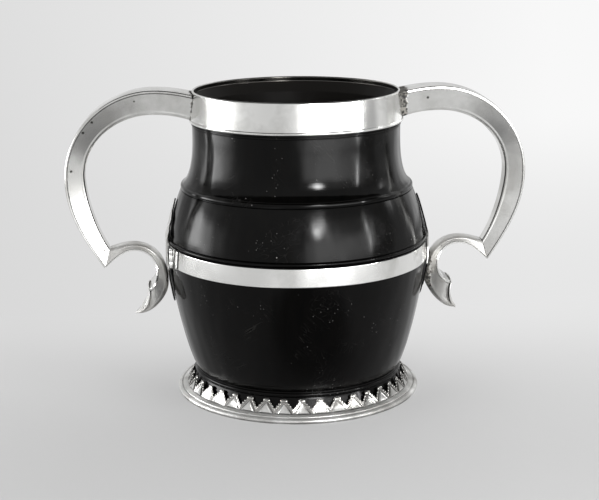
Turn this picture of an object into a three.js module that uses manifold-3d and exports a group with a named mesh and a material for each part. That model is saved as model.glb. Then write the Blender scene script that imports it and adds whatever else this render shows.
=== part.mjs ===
import * as THREE from "three";
import * as BufferGeometryUtils from "three/addons/utils/BufferGeometryUtils.js";
import Module from "manifold-3d";

// Two-handled cup: a turned dark wood body with a rim mount, a hinged waist band, two side plates,
// two hollow double-scroll handles and a foot ring with a border of upright leaves, all in silver.
// Millimetres, +Z up along the cup's axis, origin at the centre of the foot's underside,
// handles along +X and -X, front towards -Y.

const wasm = await Module();
wasm.setup();

// Clearances
const seatGap = 0.3;
const pinGap = 0.22;

// Rim mount
const rimHeight = 181;
const rimRadius = 61;
const lipThickness = 1.4;
const collarDepth = 3;
const mountDepth = 17.8;
const mountFlare = 1.4;
const mountSheet = 0.6;
const mountBead = 0.55;

// Turned body
const neckRadius = 61.2;
const neckHeight = 154;
const shoulderRadius = 68.6;
const shoulderHeight = 125;
const filletHeight = 2.4;
const ankleRadius = 61.5;
const ankleHeight = 15.2;
const ankleBead = 1.1;
const wallThickness = 5.3;
const floorHeight = 16;
const baseRecess = 2.4;
const recessIn = 6;
const recessSlope = 2;
const floorRound = 12;
const hollowStep = 4;

// Waist band
const bandBottom = 81.2;
const bandHeight = 10.6;
const bandRadius = 77.5;
const bandTaper = 0.7;
const bandSheet = 0.9;
const woodBead = 0.7;

// Hinge of the band
const hingeAngle = -161.2;
const knuckleRadius = 1.2;
const pinRadius = 0.5;
const pinHeadRadius = 1.0;
const pinHeadHeight = 0.9;
const middleKnuckle = 3.85;
const leafLap = 3.6;
const leafSheet = 0.5;

// Side plates behind the handles
const plateSheet = 0.8;
const plateTop = 30.5;
const plateDrop = 32;
const plateHalfWidth = 13.4;
const plateStandOff = 0.55;

// Handles
const handleReach = 135.5;
const upperHalfWidth = 9.4;
const lowerHalfWidth = 6.8;
const terminalHalfWidth = 11;
const sideDepth = 11.2;
const crestDepth = 14.4;
const handleSheet = 1;
const stripSheet = 0.9;
const stripCrown = 0.6;
const stripOverhang = 0.3;
const capSheet = 0.9;
const capOverhang = 0.9;
const capEase = 0.45;
const capBow = 2.2;

// Anchors of the handles' lines, from the rim, the reach and the middle of the band
const rootDrop = 2;
const crestRise = 1.1;
const crestOut = 22.5;
const reachRise = 44;
const heelInset = 20.9;
const heelDrop = 9.3;
const heelSeatIn = 3;
const heelSeatUp = 11.3;
const contactDrop = 20.5;
const contactGap = 0.85;
const scrollWidth = 20.6;
const scrollRise = 4.5;
const scrollEndOut = 17.5;
const scrollEndDrop = 39.7;
const faceTopIn = 1.1;
const faceTopDrop = 3.6;
const faceSideOut = 6.6;
const faceSideUp = 8;
const faceEndOut = 13.5;
const faceEndDrop = 22.2;

// Foot
const footRadius = 73;
const footHeight = 3.8;
const footEdge = 2.7;
const footInnerRadius = 57;
const leafCount = 39;
const leafHeight = 7.6;
const borderSheet = 1;
const leafPhase = -91.95;

const turn = Math.PI / 180;
const segments = 40;
const bandTop = bandBottom + bandHeight;
const bandMiddle = bandBottom + bandHeight / 2;

function point2(x, y) {
  return new THREE.Vector2(x, y);
}

// A cubic curve whose pull at each end is given as shares of the span across and up
function bend(start, startShare, endShare, end) {
  const span = end.clone().sub(start);
  return new THREE.CubicBezierCurve(
    start,
    start.clone().add(point2(...startShare).multiply(span)),
    end.clone().sub(point2(...endShare).multiply(span)),
    end,
  );
}

// A quarter ellipse from one extreme point to the next
function quarter(start, end) {
  const reach = 0.5523;
  return bend(start, [reach, 0], [0, reach], end);
}

// A closed mesh from its vertices and triangles, with its faces turned outwards
function closedGeometry(vertices, triangles) {
  let volume = 0;
  for (const [a, b, c] of triangles) {
    volume += vertices[a].dot(vertices[b].clone().cross(vertices[c]));
  }
  const index = triangles.flatMap(([a, b, c]) => (volume > 0 ? [a, b, c] : [a, c, b]));
  const geometry = new THREE.BufferGeometry();
  geometry.setAttribute("position", new THREE.Float32BufferAttribute(vertices.flatMap((v) => [v.x, v.y, v.z]), 3));
  geometry.setIndex(index);
  return geometry;
}

// Triangles that fill a flat outline
function flatEnd(outline) {
  return THREE.ShapeUtils.triangulateShape(outline, []);
}

// Triangles between a front line and the back line that returns along it, for a bent sheet's end
function sheetEnd(frontCount, backCount) {
  const last = frontCount + backCount - 1;
  const triangles = [];
  let i = 0;
  let j = 0;
  while (i < frontCount - 1 || j < backCount - 1) {
    const frontNext = (i + 1) / (frontCount - 1);
    const backNext = (j + 1) / (backCount - 1);
    if (frontNext <= backNext) {
      triangles.push([i, i + 1, last - j]);
      i += 1;
    } else {
      triangles.push([i, last - j - 1, last - j]);
      j += 1;
    }
  }
  return triangles;
}

// Rings of equal count joined one to the next. A run with an end face is closed by it at both ends,
// and one without joins its last ring to its first.
function loft(rings, endFace) {
  const count = rings[0].length;
  const joined = endFace ? rings.length - 1 : rings.length;
  const triangles = [];
  for (let i = 0; i < joined; i++) {
    const here = i * count;
    const next = ((i + 1) % rings.length) * count;
    for (let j = 0; j < count; j++) {
      const k = (j + 1) % count;
      triangles.push([here + j, next + j, next + k], [here + j, next + k, here + k]);
    }
  }
  if (endFace) {
    const last = joined * count;
    const forward = endFace.some(([a, b, c]) => b === a + 1 || c === b + 1 || a === c + 1);
    for (const [a, b, c] of endFace) {
      const near = forward ? [a, b, c] : [a, c, b];
      triangles.push(near, [last + near[0], last + near[2], last + near[1]]);
    }
  }
  return closedGeometry(rings.flat(), triangles);
}

function polar(radius, degrees, z) {
  return new THREE.Vector3(radius * Math.cos(degrees * turn), radius * Math.sin(degrees * turn), z);
}

// A profile of (radius, height) points revolved about the cup's axis
function revolve(profile) {
  const geometry = new THREE.LatheGeometry(profile, segments);
  geometry.rotateX(Math.PI / 2);
  geometry.deleteAttribute("normal");
  geometry.deleteAttribute("uv");
  const merged = BufferGeometryUtils.mergeVertices(geometry, 1e-4);
  const at = merged.getAttribute("position");
  const vertices = Array.from({ length: at.count }, (_, i) => new THREE.Vector3().fromBufferAttribute(at, i));
  const index = merged.getIndex().array;
  const triangles = [];
  for (let i = 0; i < index.length; i += 3) {
    const [a, b, c] = [index[i], index[i + 1], index[i + 2]];
    if (a !== b && b !== c && c !== a) triangles.push([a, b, c]);
  }
  return closedGeometry(vertices, triangles);
}

function toManifold(geometry) {
  const bare = geometry.clone();
  bare.deleteAttribute("normal");
  bare.deleteAttribute("uv");
  const merged = BufferGeometryUtils.mergeVertices(bare, 1e-4);
  return new wasm.Manifold(
    new wasm.Mesh({
      numProp: 3,
      vertProperties: new Float32Array(merged.getAttribute("position").array),
      triVerts: new Uint32Array(merged.getIndex().array),
    }),
  );
}

function fromManifold(manifold) {
  const mesh = manifold.getMesh();
  const geometry = new THREE.BufferGeometry();
  geometry.setAttribute("position", new THREE.Float32BufferAttribute(mesh.vertProperties, 3));
  geometry.setIndex(new THREE.Uint32BufferAttribute(mesh.triVerts, 1));
  return geometry;
}

const cup = new THREE.Group();

const silver = { color: 0xd8d6d0, roughness: 0.24, metalness: 1 };
const wood = { color: 0x1b1511, roughness: 0.18, metalness: 0 };

function add(name, geometry, look) {
  const mesh = new THREE.Mesh(geometry, new THREE.MeshStandardMaterial(look));
  mesh.name = name;
  cup.add(mesh);
}

// Outer line of the turned body, from the ankle up to the mount
const bandFootRadius = bandRadius;
const bandHeadRadius = bandRadius - bandTaper;
const mountFootRadius = rimRadius + mountFlare;
const mountBottom = rimHeight - mountDepth;
const woodAtBand = bandFootRadius - 0.6;
const woodAboveBead = bandHeadRadius - 0.8;
const beadHeight = 2.6;
const bandSeat = seatGap + 0.15;
const bellyStart = point2(ankleRadius, ankleHeight);
const bellyEnd = point2(woodAtBand, bandBottom - seatGap);
const belly = bend(bellyStart, [0.29, 0.1], [0.156, 0.395], bellyEnd);
const chestStart = point2(woodAboveBead, bandTop + seatGap + beadHeight + 0.5);
const chestEnd = point2(shoulderRadius + 0.1, shoulderHeight - filletHeight / 2 - 0.5);
const chest = bend(chestStart, [0.25, 0.33], [0.33, 0.33], chestEnd);
const coveStart = point2(shoulderRadius - 1.3, shoulderHeight + filletHeight / 2 + 0.7);
const coveEnd = point2(neckRadius, neckHeight);
const cove = bend(coveStart, [0.557, 0.122], [0, 0.517], coveEnd);

// Radius of the wood's outer line at a height, without its beads
function woodRadius(z) {
  const line = [...belly.getPoints(24), ...chest.getPoints(12), ...cove.getPoints(16)];
  if (z <= line[0].y) return line[0].x;
  for (let i = 1; i < line.length; i++) {
    if (z <= line[i].y) {
      const share = (z - line[i - 1].y) / (line[i].y - line[i - 1].y);
      return line[i - 1].x + share * (line[i].x - line[i - 1].x);
    }
  }
  return neckRadius;
}

// Half-round bead between two heights on a wall of the given radius
function bead(radius, low, high, rise) {
  return [0, 1, 2, 3].map((i) => {
    const angle = (Math.PI * i) / 3;
    return point2(radius + rise * Math.sin(angle), (low + high) / 2 - ((high - low) / 2) * Math.cos(angle));
  });
}

const footSeat = footHeight + seatGap;
const footFlareRadius = ankleRadius + 3.5;
const ankleBeadLow = ankleHeight - 3.2;
const ankleBeadHigh = ankleHeight - 0.5;
const flareEnd = point2(ankleRadius + 0.3, ankleBeadLow - 0.3);
const flare = bend(point2(footFlareRadius, footSeat), [0.31, 0.21], [0.19, 0.26], flareEnd);
const mountInnerFoot = mountFootRadius - mountSheet;
const mountInnerHead = rimRadius - mountSheet;
const woodTop = rimHeight - collarDepth - seatGap;
const lipInnerRadius = rimRadius - lipThickness;
const woodInMountFoot = mountInnerFoot - seatGap;
const woodInMountHead = mountInnerHead - seatGap;

const outerLine = [
  ...flare.getPoints(2),
  ...bead(ankleRadius + 0.1, ankleBeadLow, ankleBeadHigh, ankleBead),
  ...belly.getPoints(8),
  point2(bandFootRadius - bandSheet - bandSeat, bandBottom - seatGap + 0.05),
  point2(bandHeadRadius - bandSheet - bandSeat, bandTop + seatGap - 0.05),
  ...bead(bandHeadRadius, bandTop + seatGap, bandTop + seatGap + beadHeight, woodBead),
  ...chest.getPoints(3),
  point2(shoulderRadius - 0.4, shoulderHeight - filletHeight / 2 - 0.2),
  point2(shoulderRadius, shoulderHeight - filletHeight / 2 + 0.2),
  point2(shoulderRadius + 0.1, shoulderHeight),
  point2(shoulderRadius - 0.1, shoulderHeight + filletHeight / 2),
  ...cove.getPoints(5),
  point2(neckRadius, mountBottom - 2.6),
  point2(neckRadius - 0.3, mountBottom - 2.2),
  point2(neckRadius + 0.4, mountBottom - 1.9),
  point2(neckRadius + 0.4, mountBottom - 1.1),
  point2(neckRadius - 0.1, mountBottom - 0.8),
  point2(Math.min(neckRadius + 0.4, woodInMountFoot), mountBottom - 0.5),
  point2(woodInMountFoot, mountBottom + 1.6),
  point2(woodInMountHead, woodTop),
];

// The hollow follows the outer line one wall thickness inside it, down to a rounded floor
const floorRadius = ankleRadius - wallThickness;
const hollowFoot = floorHeight + floorRound;
const hollowHeights = [166, 146, 130, 104, 84, 60, 42].filter((z) => z > hollowFoot + hollowStep);
const hollow = [
  point2(lipInnerRadius - 0.2, woodTop),
  ...hollowHeights.map((z) => point2(woodRadius(z) - wallThickness, z)),
  ...bend(
    point2(woodRadius(hollowFoot) - wallThickness, hollowFoot),
    [0.08, 0.44],
    [0.55, 0.09],
    point2(floorRadius * 0.55, floorHeight + 0.6),
  ).getPoints(3),
  point2(0, floorHeight),
];
const underside = [
  point2(0, footSeat + baseRecess),
  point2(footInnerRadius - recessIn, footSeat + baseRecess),
  point2(footInnerRadius - recessIn + recessSlope, footSeat),
];
add("turned_body", revolve([...underside, ...outerLine, ...hollow]), wood);

// Rim mount: a flared band with a beaded lower edge and a lip turned down inside the wood
const mountFace = 1.6;
const lipTop = 0.7;
add(
  "rim_mount",
  revolve([
    point2(lipInnerRadius, rimHeight - collarDepth),
    point2(mountInnerHead, rimHeight - collarDepth),
    point2(mountInnerFoot, mountBottom + mountFace),
    point2(mountInnerFoot, mountBottom),
    point2(mountFootRadius + mountBead * 0.6, mountBottom),
    point2(mountFootRadius + mountBead, mountBottom + mountFace * 0.5),
    point2(mountFootRadius, mountBottom + mountFace),
    point2(rimRadius, rimHeight - lipTop),
    point2(rimRadius - lipThickness * 0.25, rimHeight - lipTop * 0.2),
    point2(rimRadius - lipThickness * 0.6, rimHeight),
    point2(lipInnerRadius, rimHeight - lipTop),
    point2(lipInnerRadius, rimHeight - collarDepth),
  ]),
  silver,
);

// Waist band: one hoop, split behind the hinge
function bandOuter(z) {
  return bandFootRadius - (bandTaper * (z - bandBottom)) / bandHeight;
}

// A section of (radius, height) points carried round the axis between two angles
function arcLoft(fromAngle, toAngle, steps, section) {
  const rings = [];
  for (let i = 0; i <= steps; i++) {
    const angle = fromAngle + ((toAngle - fromAngle) * i) / steps;
    rings.push(section.map((p) => polar(p.x, angle, p.y)));
  }
  return loft(rings, flatEnd(section));
}

// The section of a sheet lying on the band between two heights
function lappedSection(low, high, sheet) {
  return [
    point2(bandOuter(low) + seatGap, low),
    point2(bandOuter(low) + seatGap + sheet, low),
    point2(bandOuter(high) + seatGap + sheet, high),
    point2(bandOuter(high) + seatGap, high),
  ];
}

const splitHalf = 0.35;
const bandEase = 0.25;
add(
  "waist_band",
  arcLoft(hingeAngle + splitHalf, hingeAngle - splitHalf + 360, segments, [
    point2(bandFootRadius - bandSheet, bandBottom),
    point2(bandFootRadius - bandEase, bandBottom),
    point2(bandFootRadius, bandBottom + bandEase),
    point2(bandHeadRadius, bandTop - bandEase),
    point2(bandHeadRadius - bandEase, bandTop),
    point2(bandHeadRadius - bandSheet, bandTop),
  ]),
  silver,
);

// Hinge: two leaves lapped on the band, three knuckles and a drift pin
const pinCircle = bandFootRadius + seatGap + 0.1 + knuckleRadius;
const boreRadius = pinRadius + pinGap;
const knuckleLow = bandMiddle - middleKnuckle / 2 + 0.4;
const knuckleHigh = knuckleLow + middleKnuckle;
const hingeLow = bandBottom + 0.2;
const hingeHigh = bandTop - 0.1;

function barrel(low, high, radius) {
  const geometry = new THREE.CylinderGeometry(radius, radius, high - low, 14);
  geometry.rotateX(Math.PI / 2);
  geometry.translate(pinCircle, 0, (low + high) / 2);
  return toManifold(geometry);
}

function hingeLeaf(side, knuckles) {
  const lapStart = (side * (knuckleRadius + 0.35)) / bandRadius / turn;
  const lapEnd = lapStart + (side * leafLap) / bandRadius / turn;
  const lap = toManifold(arcLoft(lapStart, lapEnd, 2, lappedSection(hingeLow, hingeHigh, leafSheet)));
  const webEnd = lapStart + (side * 0.4) / bandRadius / turn;
  const webSheet = pinCircle - boreRadius - (bandHeadRadius + seatGap);
  let leaf = lap;
  for (const [low, high] of knuckles) {
    const web = arcLoft(0, webEnd, 1, lappedSection(low, high, webSheet));
    leaf = leaf.add(toManifold(web)).add(barrel(low, high, knuckleRadius));
  }
  for (const [low, high] of knuckles) {
    leaf = leaf.subtract(barrel(low - 1, high + 1, boreRadius));
  }
  const geometry = fromManifold(leaf);
  geometry.rotateZ(hingeAngle * turn);
  return geometry;
}

add("hinge_leaf_front", hingeLeaf(1, [[hingeLow, knuckleLow - seatGap], [knuckleHigh + seatGap, hingeHigh]]), silver);
add("hinge_leaf_back", hingeLeaf(-1, [[knuckleLow, knuckleHigh]]), silver);

const pinFoot = hingeLow;
const headFoot = hingeHigh + seatGap;
const pin = new THREE.LatheGeometry(
  [
    point2(0, pinFoot),
    point2(pinRadius * 0.7, pinFoot),
    point2(pinRadius, pinFoot + 0.3),
    point2(pinRadius, headFoot),
    point2(pinHeadRadius, headFoot),
    point2(pinHeadRadius, headFoot + pinHeadHeight * 0.35),
    point2(pinHeadRadius * 0.75, headFoot + pinHeadHeight * 0.8),
    point2(0, headFoot + pinHeadHeight),
  ],
  14,
);
pin.rotateX(Math.PI / 2);
pin.translate(pinCircle, 0, 0);
pin.rotateZ(hingeAngle * turn);
add("hinge_pin", pin, silver);

// Side plates: cut leaf plates over the band, their tips lying on the wood above and below
const plateOverBand = bandRadius + seatGap + 0.1;
const plateRestLow = bandBottom - 1;
const plateRestHigh = bandTop + beadHeight + 0.8;

function plateInner(z) {
  if (z >= plateRestLow && z <= plateRestHigh) return plateOverBand;
  const above = z > plateRestHigh;
  const rest = above ? plateRestHigh : plateRestLow;
  const tip = above ? bandMiddle + plateTop : bandMiddle - plateDrop;
  const share = (z - rest) / (tip - rest);
  const lift = plateOverBand - woodRadius(rest);
  return woodRadius(z) + lift + (plateStandOff - lift) * share;
}

// Half-width of the leaf at a share of the way from the band to a tip, stepped like a cut leaf
const leafSteps = [
  [0, 0.8],
  [0.2, 0.93],
  [0.34, 1],
  [0.47, 0.9],
  [0.52, 0.76],
  [0.66, 0.8],
  [0.76, 0.56],
  [0.8, 0.44],
  [0.9, 0.36],
  [1, 0.04],
];

function sidePlate(facing) {
  const rows = [
    ...leafSteps.map(([share, width]) => [bandMiddle - share * plateDrop, width]).reverse(),
    ...leafSteps.slice(1).map(([share, width]) => [bandMiddle + share * plateTop, width]),
  ];
  const columns = [-1, -0.5, 0, 0.5, 1];
  const rings = rows.map(([z, width]) => {
    const inner = plateInner(z);
    const half = (width * plateHalfWidth) / inner / turn;
    const outside = columns.map((c) => polar(inner + plateSheet, facing + c * half, z));
    const inside = columns.map((c) => polar(inner, facing + c * half, z)).reverse();
    return [...outside, ...inside];
  });
  return loft(rings, sheetEnd(columns.length, columns.length));
}

// Handles. Each line is in the handle's own plane: distance from the axis, height.
const rootGap = 0.1 + seatGap;
const crestHeight = rimHeight + crestRise;
const crestAlong = rimRadius + crestOut;
const reachHeight = bandMiddle + reachRise;

const backRoot = point2(rimRadius + rootGap, rimHeight - rootDrop);
const backCrest = point2(crestAlong, crestHeight);
const backReach = point2(handleReach, reachHeight);
const backHeel = point2(handleReach - heelInset, bandMiddle - heelDrop);
const bellyRoot = point2(mountFootRadius + mountBead + rootGap + 0.05, mountBottom + 0.7);
const bellyCrest = point2(crestAlong + 0.5, crestHeight - crestDepth);
const bellyReach = point2(handleReach - sideDepth, reachHeight + 1);
const heelSeat = backHeel.clone().add(point2(-heelSeatIn, heelSeatUp));

const upperBack = [
  bend(backRoot, [0.317, 0.61], [0.34, 0], backCrest),
  quarter(backCrest, backReach),
  bend(backReach, [0, 0.33], [0.7225, 0.4165], backHeel),
];
const upperBelly = [
  bend(bellyRoot, [0.314, 0.684], [0.3865, 0], bellyCrest),
  quarter(bellyCrest, bellyReach),
  bend(bellyReach, [0, 0.244], [0.661, 0.316], heelSeat),
];

// The lower scroll leaves the heel, rolls back towards the cup and opens into its terminal
const contactHeight = bandMiddle - contactDrop;
const contactAlong = plateInner(contactHeight) + plateSheet + contactGap;
const scrollTop = point2(contactAlong + scrollWidth, bandMiddle + scrollRise);
const scrollSide = point2(contactAlong, contactHeight);
const scrollEnd = point2(contactAlong + scrollEndOut, bandMiddle - scrollEndDrop);
const faceTop = point2(scrollTop.x - faceTopIn, scrollTop.y - faceTopDrop);
const faceSide = point2(contactAlong + faceSideOut, contactHeight + faceSideUp);
const faceEnd = point2(contactAlong + faceEndOut, bandMiddle - faceEndDrop);
const mitre = backHeel.clone().sub(heelSeat).normalize();
const mitreGap = point2(mitre.y, -mitre.x).multiplyScalar(seatGap);
const lowerFace = [
  bend(backHeel.clone().add(mitreGap), [0.333, 0.5625], [0.375, 0], faceTop),
  bend(faceTop, [0.64, 0], [0, 0.5], faceSide),
  bend(faceSide, [0, 0.45], [0.5, 0.25], faceEnd),
];
const lowerCrown = [
  bend(heelSeat.clone().add(mitreGap), [0.365, 0.5], [0.397, 0], scrollTop),
  bend(scrollTop, [0.56, 0], [0, 0.68], scrollSide),
  bend(scrollSide, [0, 0.36], [0.555, 0.04], scrollEnd),
];

// Half of a rounded D, from one edge over the crown to the other. A higher power makes it squarer.
const upperPower = 4;
const lowerPower = 2.6;

function crownLine(halfWidth, depth, count, power) {
  const squareness = 2 / power;
  const line = [];
  for (let i = 0; i <= count; i++) {
    const angle = (Math.PI * i) / count;
    const across = Math.cos(angle);
    line.push(
      point2(
        halfWidth * Math.sign(across) * Math.abs(across) ** squareness,
        depth * Math.sin(angle) ** squareness,
      ),
    );
  }
  return line;
}

const outerFacets = 9;
const innerFacets = 7;

function troughSection(halfWidth, depth, from, power) {
  const outside = crownLine(halfWidth, depth, outerFacets, power);
  const sheet = Math.min(handleSheet, depth * 0.4);
  const inside = crownLine(halfWidth - sheet, depth - sheet, innerFacets, power).reverse();
  return [...outside, ...inside].map((p) => point2(p.x, p.y + from));
}

function stripSection(halfWidth, crown) {
  return [
    point2(-halfWidth, 0),
    point2(-halfWidth * 0.55, -crown * 0.75),
    point2(0, -crown),
    point2(halfWidth * 0.55, -crown * 0.75),
    point2(halfWidth, 0),
    point2(halfWidth, stripSheet),
    point2(halfWidth * 0.5, stripSheet),
    point2(0, stripSheet),
    point2(-halfWidth * 0.5, stripSheet),
    point2(-halfWidth, stripSheet),
  ];
}

function smooth(share) {
  const s = THREE.MathUtils.clamp(share, 0, 1);
  return s * s * (3 - 2 * s);
}

// Sections carried along a pair of lines. Each is given across the handle and down from the first line.
function sweep(firstLines, secondLines, stepCounts, sectionAt, shiftAt, endFace) {
  const rings = [];
  const total = stepCounts.reduce((a, b) => a + b, 0);
  let done = 0;
  firstLines.forEach((first, i) => {
    const start = i === 0 ? 0 : 1;
    for (let k = start; k <= stepCounts[i]; k++) {
      const share = k / stepCounts[i];
      const a = first.getPoint(share);
      const b = secondLines[i].getPoint(share);
      const depth = a.distanceTo(b);
      const down = b.clone().sub(a).divideScalar(depth);
      const along = (done + k) / total;
      const section = sectionAt(along, depth);
      rings.push(
        section.map((p) => {
          const at = a.clone().addScaledVector(down, p.y).add(shiftAt(along, p, depth));
          return new THREE.Vector3(at.x, p.x, at.y);
        }),
      );
    }
    done += stepCounts[i];
  });
  return loft(rings, endFace);
}

const upperSteps = [2, 8, 6];
const lowerSteps = [3, 6, 4];

function upperWidth(along) {
  return upperHalfWidth + 1.1 * (1 - smooth(along / 0.15)) - 2.4 * smooth((along - 0.3) / 0.7);
}

function lowerWidth(along) {
  const heelWidth = upperHalfWidth - 2.4;
  const fromHeel = 1 - smooth(along / 0.3);
  return lowerHalfWidth
    + (heelWidth - lowerHalfWidth) * fromHeel
    + (terminalHalfWidth - lowerHalfWidth) * smooth((along - 0.45) / 0.55);
}

// The root is scribed to the round of the mount
function scribe(along, p) {
  return point2((-(p.x ** 2) / (2 * mountFootRadius)) * (1 - smooth(along / 0.16)), 0);
}

// The terminal is cut to the hollow of its cap
const cutDown = scrollEnd.clone().sub(faceEnd).normalize();
const cutOut = point2(-cutDown.y, cutDown.x);

function bow(share) {
  const held = THREE.MathUtils.clamp(share, 0, 1);
  return capBow * 4 * held * (1 - held);
}

function hollowCut(along, p, depth) {
  return cutOut.clone().multiplyScalar(-bow(p.y / depth) * smooth((along - 0.8) / 0.2));
}

const troughSeat = stripSheet + seatGap + 0.1;
const lowerSeat = troughSeat + 0.1;
const troughEnd = sheetEnd(outerFacets + 1, innerFacets + 1);
const stripEnd = sheetEnd(5, 5);
const upperTrough = sweep(
  upperBack,
  upperBelly,
  upperSteps,
  (along, depth) => troughSection(upperWidth(along), depth - troughSeat, troughSeat, upperPower),
  scribe,
  troughEnd,
);
const upperStrip = sweep(
  upperBack,
  upperBelly,
  upperSteps,
  (along) => stripSection(upperWidth(along) + stripOverhang, stripCrown),
  scribe,
  stripEnd,
);
const lowerTrough = sweep(
  lowerFace,
  lowerCrown,
  lowerSteps,
  (along, depth) => troughSection(lowerWidth(along), depth - lowerSeat, lowerSeat, lowerPower),
  hollowCut,
  troughEnd,
);
const lowerStrip = sweep(
  lowerFace,
  lowerCrown,
  lowerSteps,
  (along) => stripSection(lowerWidth(along) + stripOverhang, 0.1),
  hollowCut,
  stripEnd,
);

// Terminal cap: a bowed shield with two horns above and a point below
function terminalCap() {
  const length = scrollEnd.distanceTo(faceEnd);
  const rows = [
    [-0.06, 1.07],
    [0, 1.06],
    [0.12, 1.05],
    [0.26, 1.05],
    [0.42, 1.03],
    [0.58, 0.97],
    [0.74, 0.82],
    [0.88, 0.58],
    [1, 0.3],
    [1 + (2 * capOverhang) / length, 0.06],
  ];
  const columns = [-1, -0.6, 0, 0.6, 1];
  const seat = seatGap + capEase;
  const rings = rows.map(([share, width]) => {
    const place = (column, lift) => {
      const at = share - 0.12 * column ** 2 * Math.max(0, 0.25 - share);
      const p = faceEnd
        .clone()
        .addScaledVector(cutDown, at * length)
        .addScaledVector(cutOut, seat + lift - bow(at));
      return new THREE.Vector3(p.x, column * width * terminalHalfWidth, p.y);
    };
    return [...columns.map((c) => place(c, capSheet)), ...columns.map((c) => place(c, 0)).reverse()];
  });
  return loft(rings, sheetEnd(columns.length, columns.length));
}

for (const [side, facing] of [["left", 180], ["right", 0]]) {
  add(`${side}_side_plate`, sidePlate(facing), silver);
  const pieces = {
    upper_trough: upperTrough,
    upper_strip: upperStrip,
    lower_trough: lowerTrough,
    lower_strip: lowerStrip,
    terminal_cap: terminalCap(),
  };
  for (const [piece, shape] of Object.entries(pieces)) {
    const geometry = shape.clone();
    geometry.rotateZ(facing * turn);
    add(`${side}_handle_${piece}`, geometry, silver);
  }
}

// Foot ring: a flat flange with a step, a groove and a rounded edge
const flangeRadius = footFlareRadius + 2.6;
add(
  "foot_ring",
  revolve([
    point2(footInnerRadius, 0),
    point2(footRadius - 1.1, 0),
    point2(footRadius - 0.2, footEdge * 0.25),
    point2(footRadius, footEdge * 0.55),
    point2(footRadius - 0.5, footEdge * 0.9),
    point2(footRadius - 1.5, footEdge),
    point2(footRadius - 2.2, footEdge - 0.5),
    point2(footRadius - 2.9, footEdge - 0.1),
    point2(flangeRadius + 0.5, footHeight - 0.3),
    point2(flangeRadius, footHeight),
    point2(footInnerRadius, footHeight),
    point2(footInnerRadius, 0),
  ]),
  silver,
);

// Leaf border: one ring of upright leaves, each with a round tip and stepped side lobes
const leafLine = [
  [-0.36, 0.5],
  [-0.21, 0.64],
  [-0.13, 0.95],
  [0.13, 0.95],
  [0.21, 0.64],
  [0.36, 0.5],
  [0.5, 0.12],
];

function leafInner(z) {
  const share = (z - footSeat) / (ankleBeadLow - 0.3 - footSeat);
  return THREE.MathUtils.lerp(footFlareRadius, ankleRadius + 0.3, Math.min(share, 1) ** 0.8) + 0.45;
}

function leafBorder() {
  const pitch = 360 / leafCount;
  const base = footSeat + 1.8;
  const rings = [];
  for (let leaf = 0; leaf < leafCount; leaf++) {
    for (const [across, height] of leafLine) {
      const angle = leafPhase + (leaf + across) * pitch;
      const top = base + (leafHeight - 1.8) * height;
      const rib = 0.35 * Math.cos(across * 2 * Math.PI);
      rings.push([
        polar(leafInner(footSeat), angle, footSeat),
        polar(leafInner(footSeat) + borderSheet + 0.6, angle, footSeat),
        polar(leafInner(base) + borderSheet + rib, angle, base),
        polar(leafInner(top) + borderSheet * 0.7 + rib * 0.5, angle, top),
        polar(leafInner(top), angle, top),
      ]);
    }
  }
  return loft(rings);
}

add("leaf_border", leafBorder(), silver);

export default cup;
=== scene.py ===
import math

import bmesh
import bpy
from mathutils import Matrix, Vector


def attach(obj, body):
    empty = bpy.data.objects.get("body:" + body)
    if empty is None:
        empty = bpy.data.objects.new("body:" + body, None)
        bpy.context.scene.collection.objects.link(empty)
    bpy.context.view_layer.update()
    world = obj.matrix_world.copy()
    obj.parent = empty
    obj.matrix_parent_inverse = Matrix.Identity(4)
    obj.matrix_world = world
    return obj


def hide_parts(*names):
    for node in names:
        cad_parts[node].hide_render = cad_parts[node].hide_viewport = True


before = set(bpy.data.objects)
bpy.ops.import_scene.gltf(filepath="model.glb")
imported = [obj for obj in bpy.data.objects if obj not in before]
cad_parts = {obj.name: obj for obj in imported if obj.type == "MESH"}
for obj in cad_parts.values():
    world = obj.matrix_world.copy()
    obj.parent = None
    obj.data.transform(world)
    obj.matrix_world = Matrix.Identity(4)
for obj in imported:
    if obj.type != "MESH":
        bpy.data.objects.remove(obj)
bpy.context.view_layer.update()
print("frame loaded:", len(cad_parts), "nodes")

mm = 0.001
axisUp = (0, 0, 1)
latheSteps = 180  # facets round every turned piece
weld = 0.002 * mm  # points nearer than this are made one
sharpEdge = 50  # only edges that turn by more degrees than this are eased


# Camera at the photograph's place
camera = {
    "place": (-58.3, -833.3, 291.3),
    "lens": 86.0,
    "sensor": 36.0,
    "heading": -4.104,
    "tilt": 76.045,
    "roll": -0.412,
}


def placeCamera():
    data = bpy.data.cameras.new("camera")
    data.lens = camera["lens"]
    data.sensor_width = camera["sensor"]
    data.clip_start = 0.01
    data.clip_end = 20
    eye = bpy.data.objects.new("camera", data)
    bpy.context.scene.collection.objects.link(eye)
    heading = Matrix.Rotation(math.radians(camera["heading"]), 4, "Z")
    tilt = Matrix.Rotation(math.radians(camera["tilt"]), 4, "X")
    roll = Matrix.Rotation(math.radians(camera["roll"]), 4, "Z")
    eye.matrix_world = Matrix.Translation(Vector(camera["place"]) * mm) @ heading @ tilt @ roll
    bpy.context.scene.camera = eye


placeCamera()
print("camera placed")


# Drawing outlines, in millimetres

def bend(start, startShare, endShare, end, count):
    # a cubic curve whose pull at each end is a share of the span, without its first point
    spanX = end[0] - start[0]
    spanY = end[1] - start[1]
    first = (start[0] + startShare[0] * spanX, start[1] + startShare[1] * spanY)
    second = (end[0] - endShare[0] * spanX, end[1] - endShare[1] * spanY)
    line = []
    for i in range(1, count + 1):
        t = i / count
        weights = ((1 - t) ** 3, 3 * (1 - t) ** 2 * t, 3 * (1 - t) * t ** 2, t ** 3)
        corners = (start, first, second, end)
        line.append(tuple(sum(w * c[k] for w, c in zip(weights, corners)) for k in (0, 1)))
    return line


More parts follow.
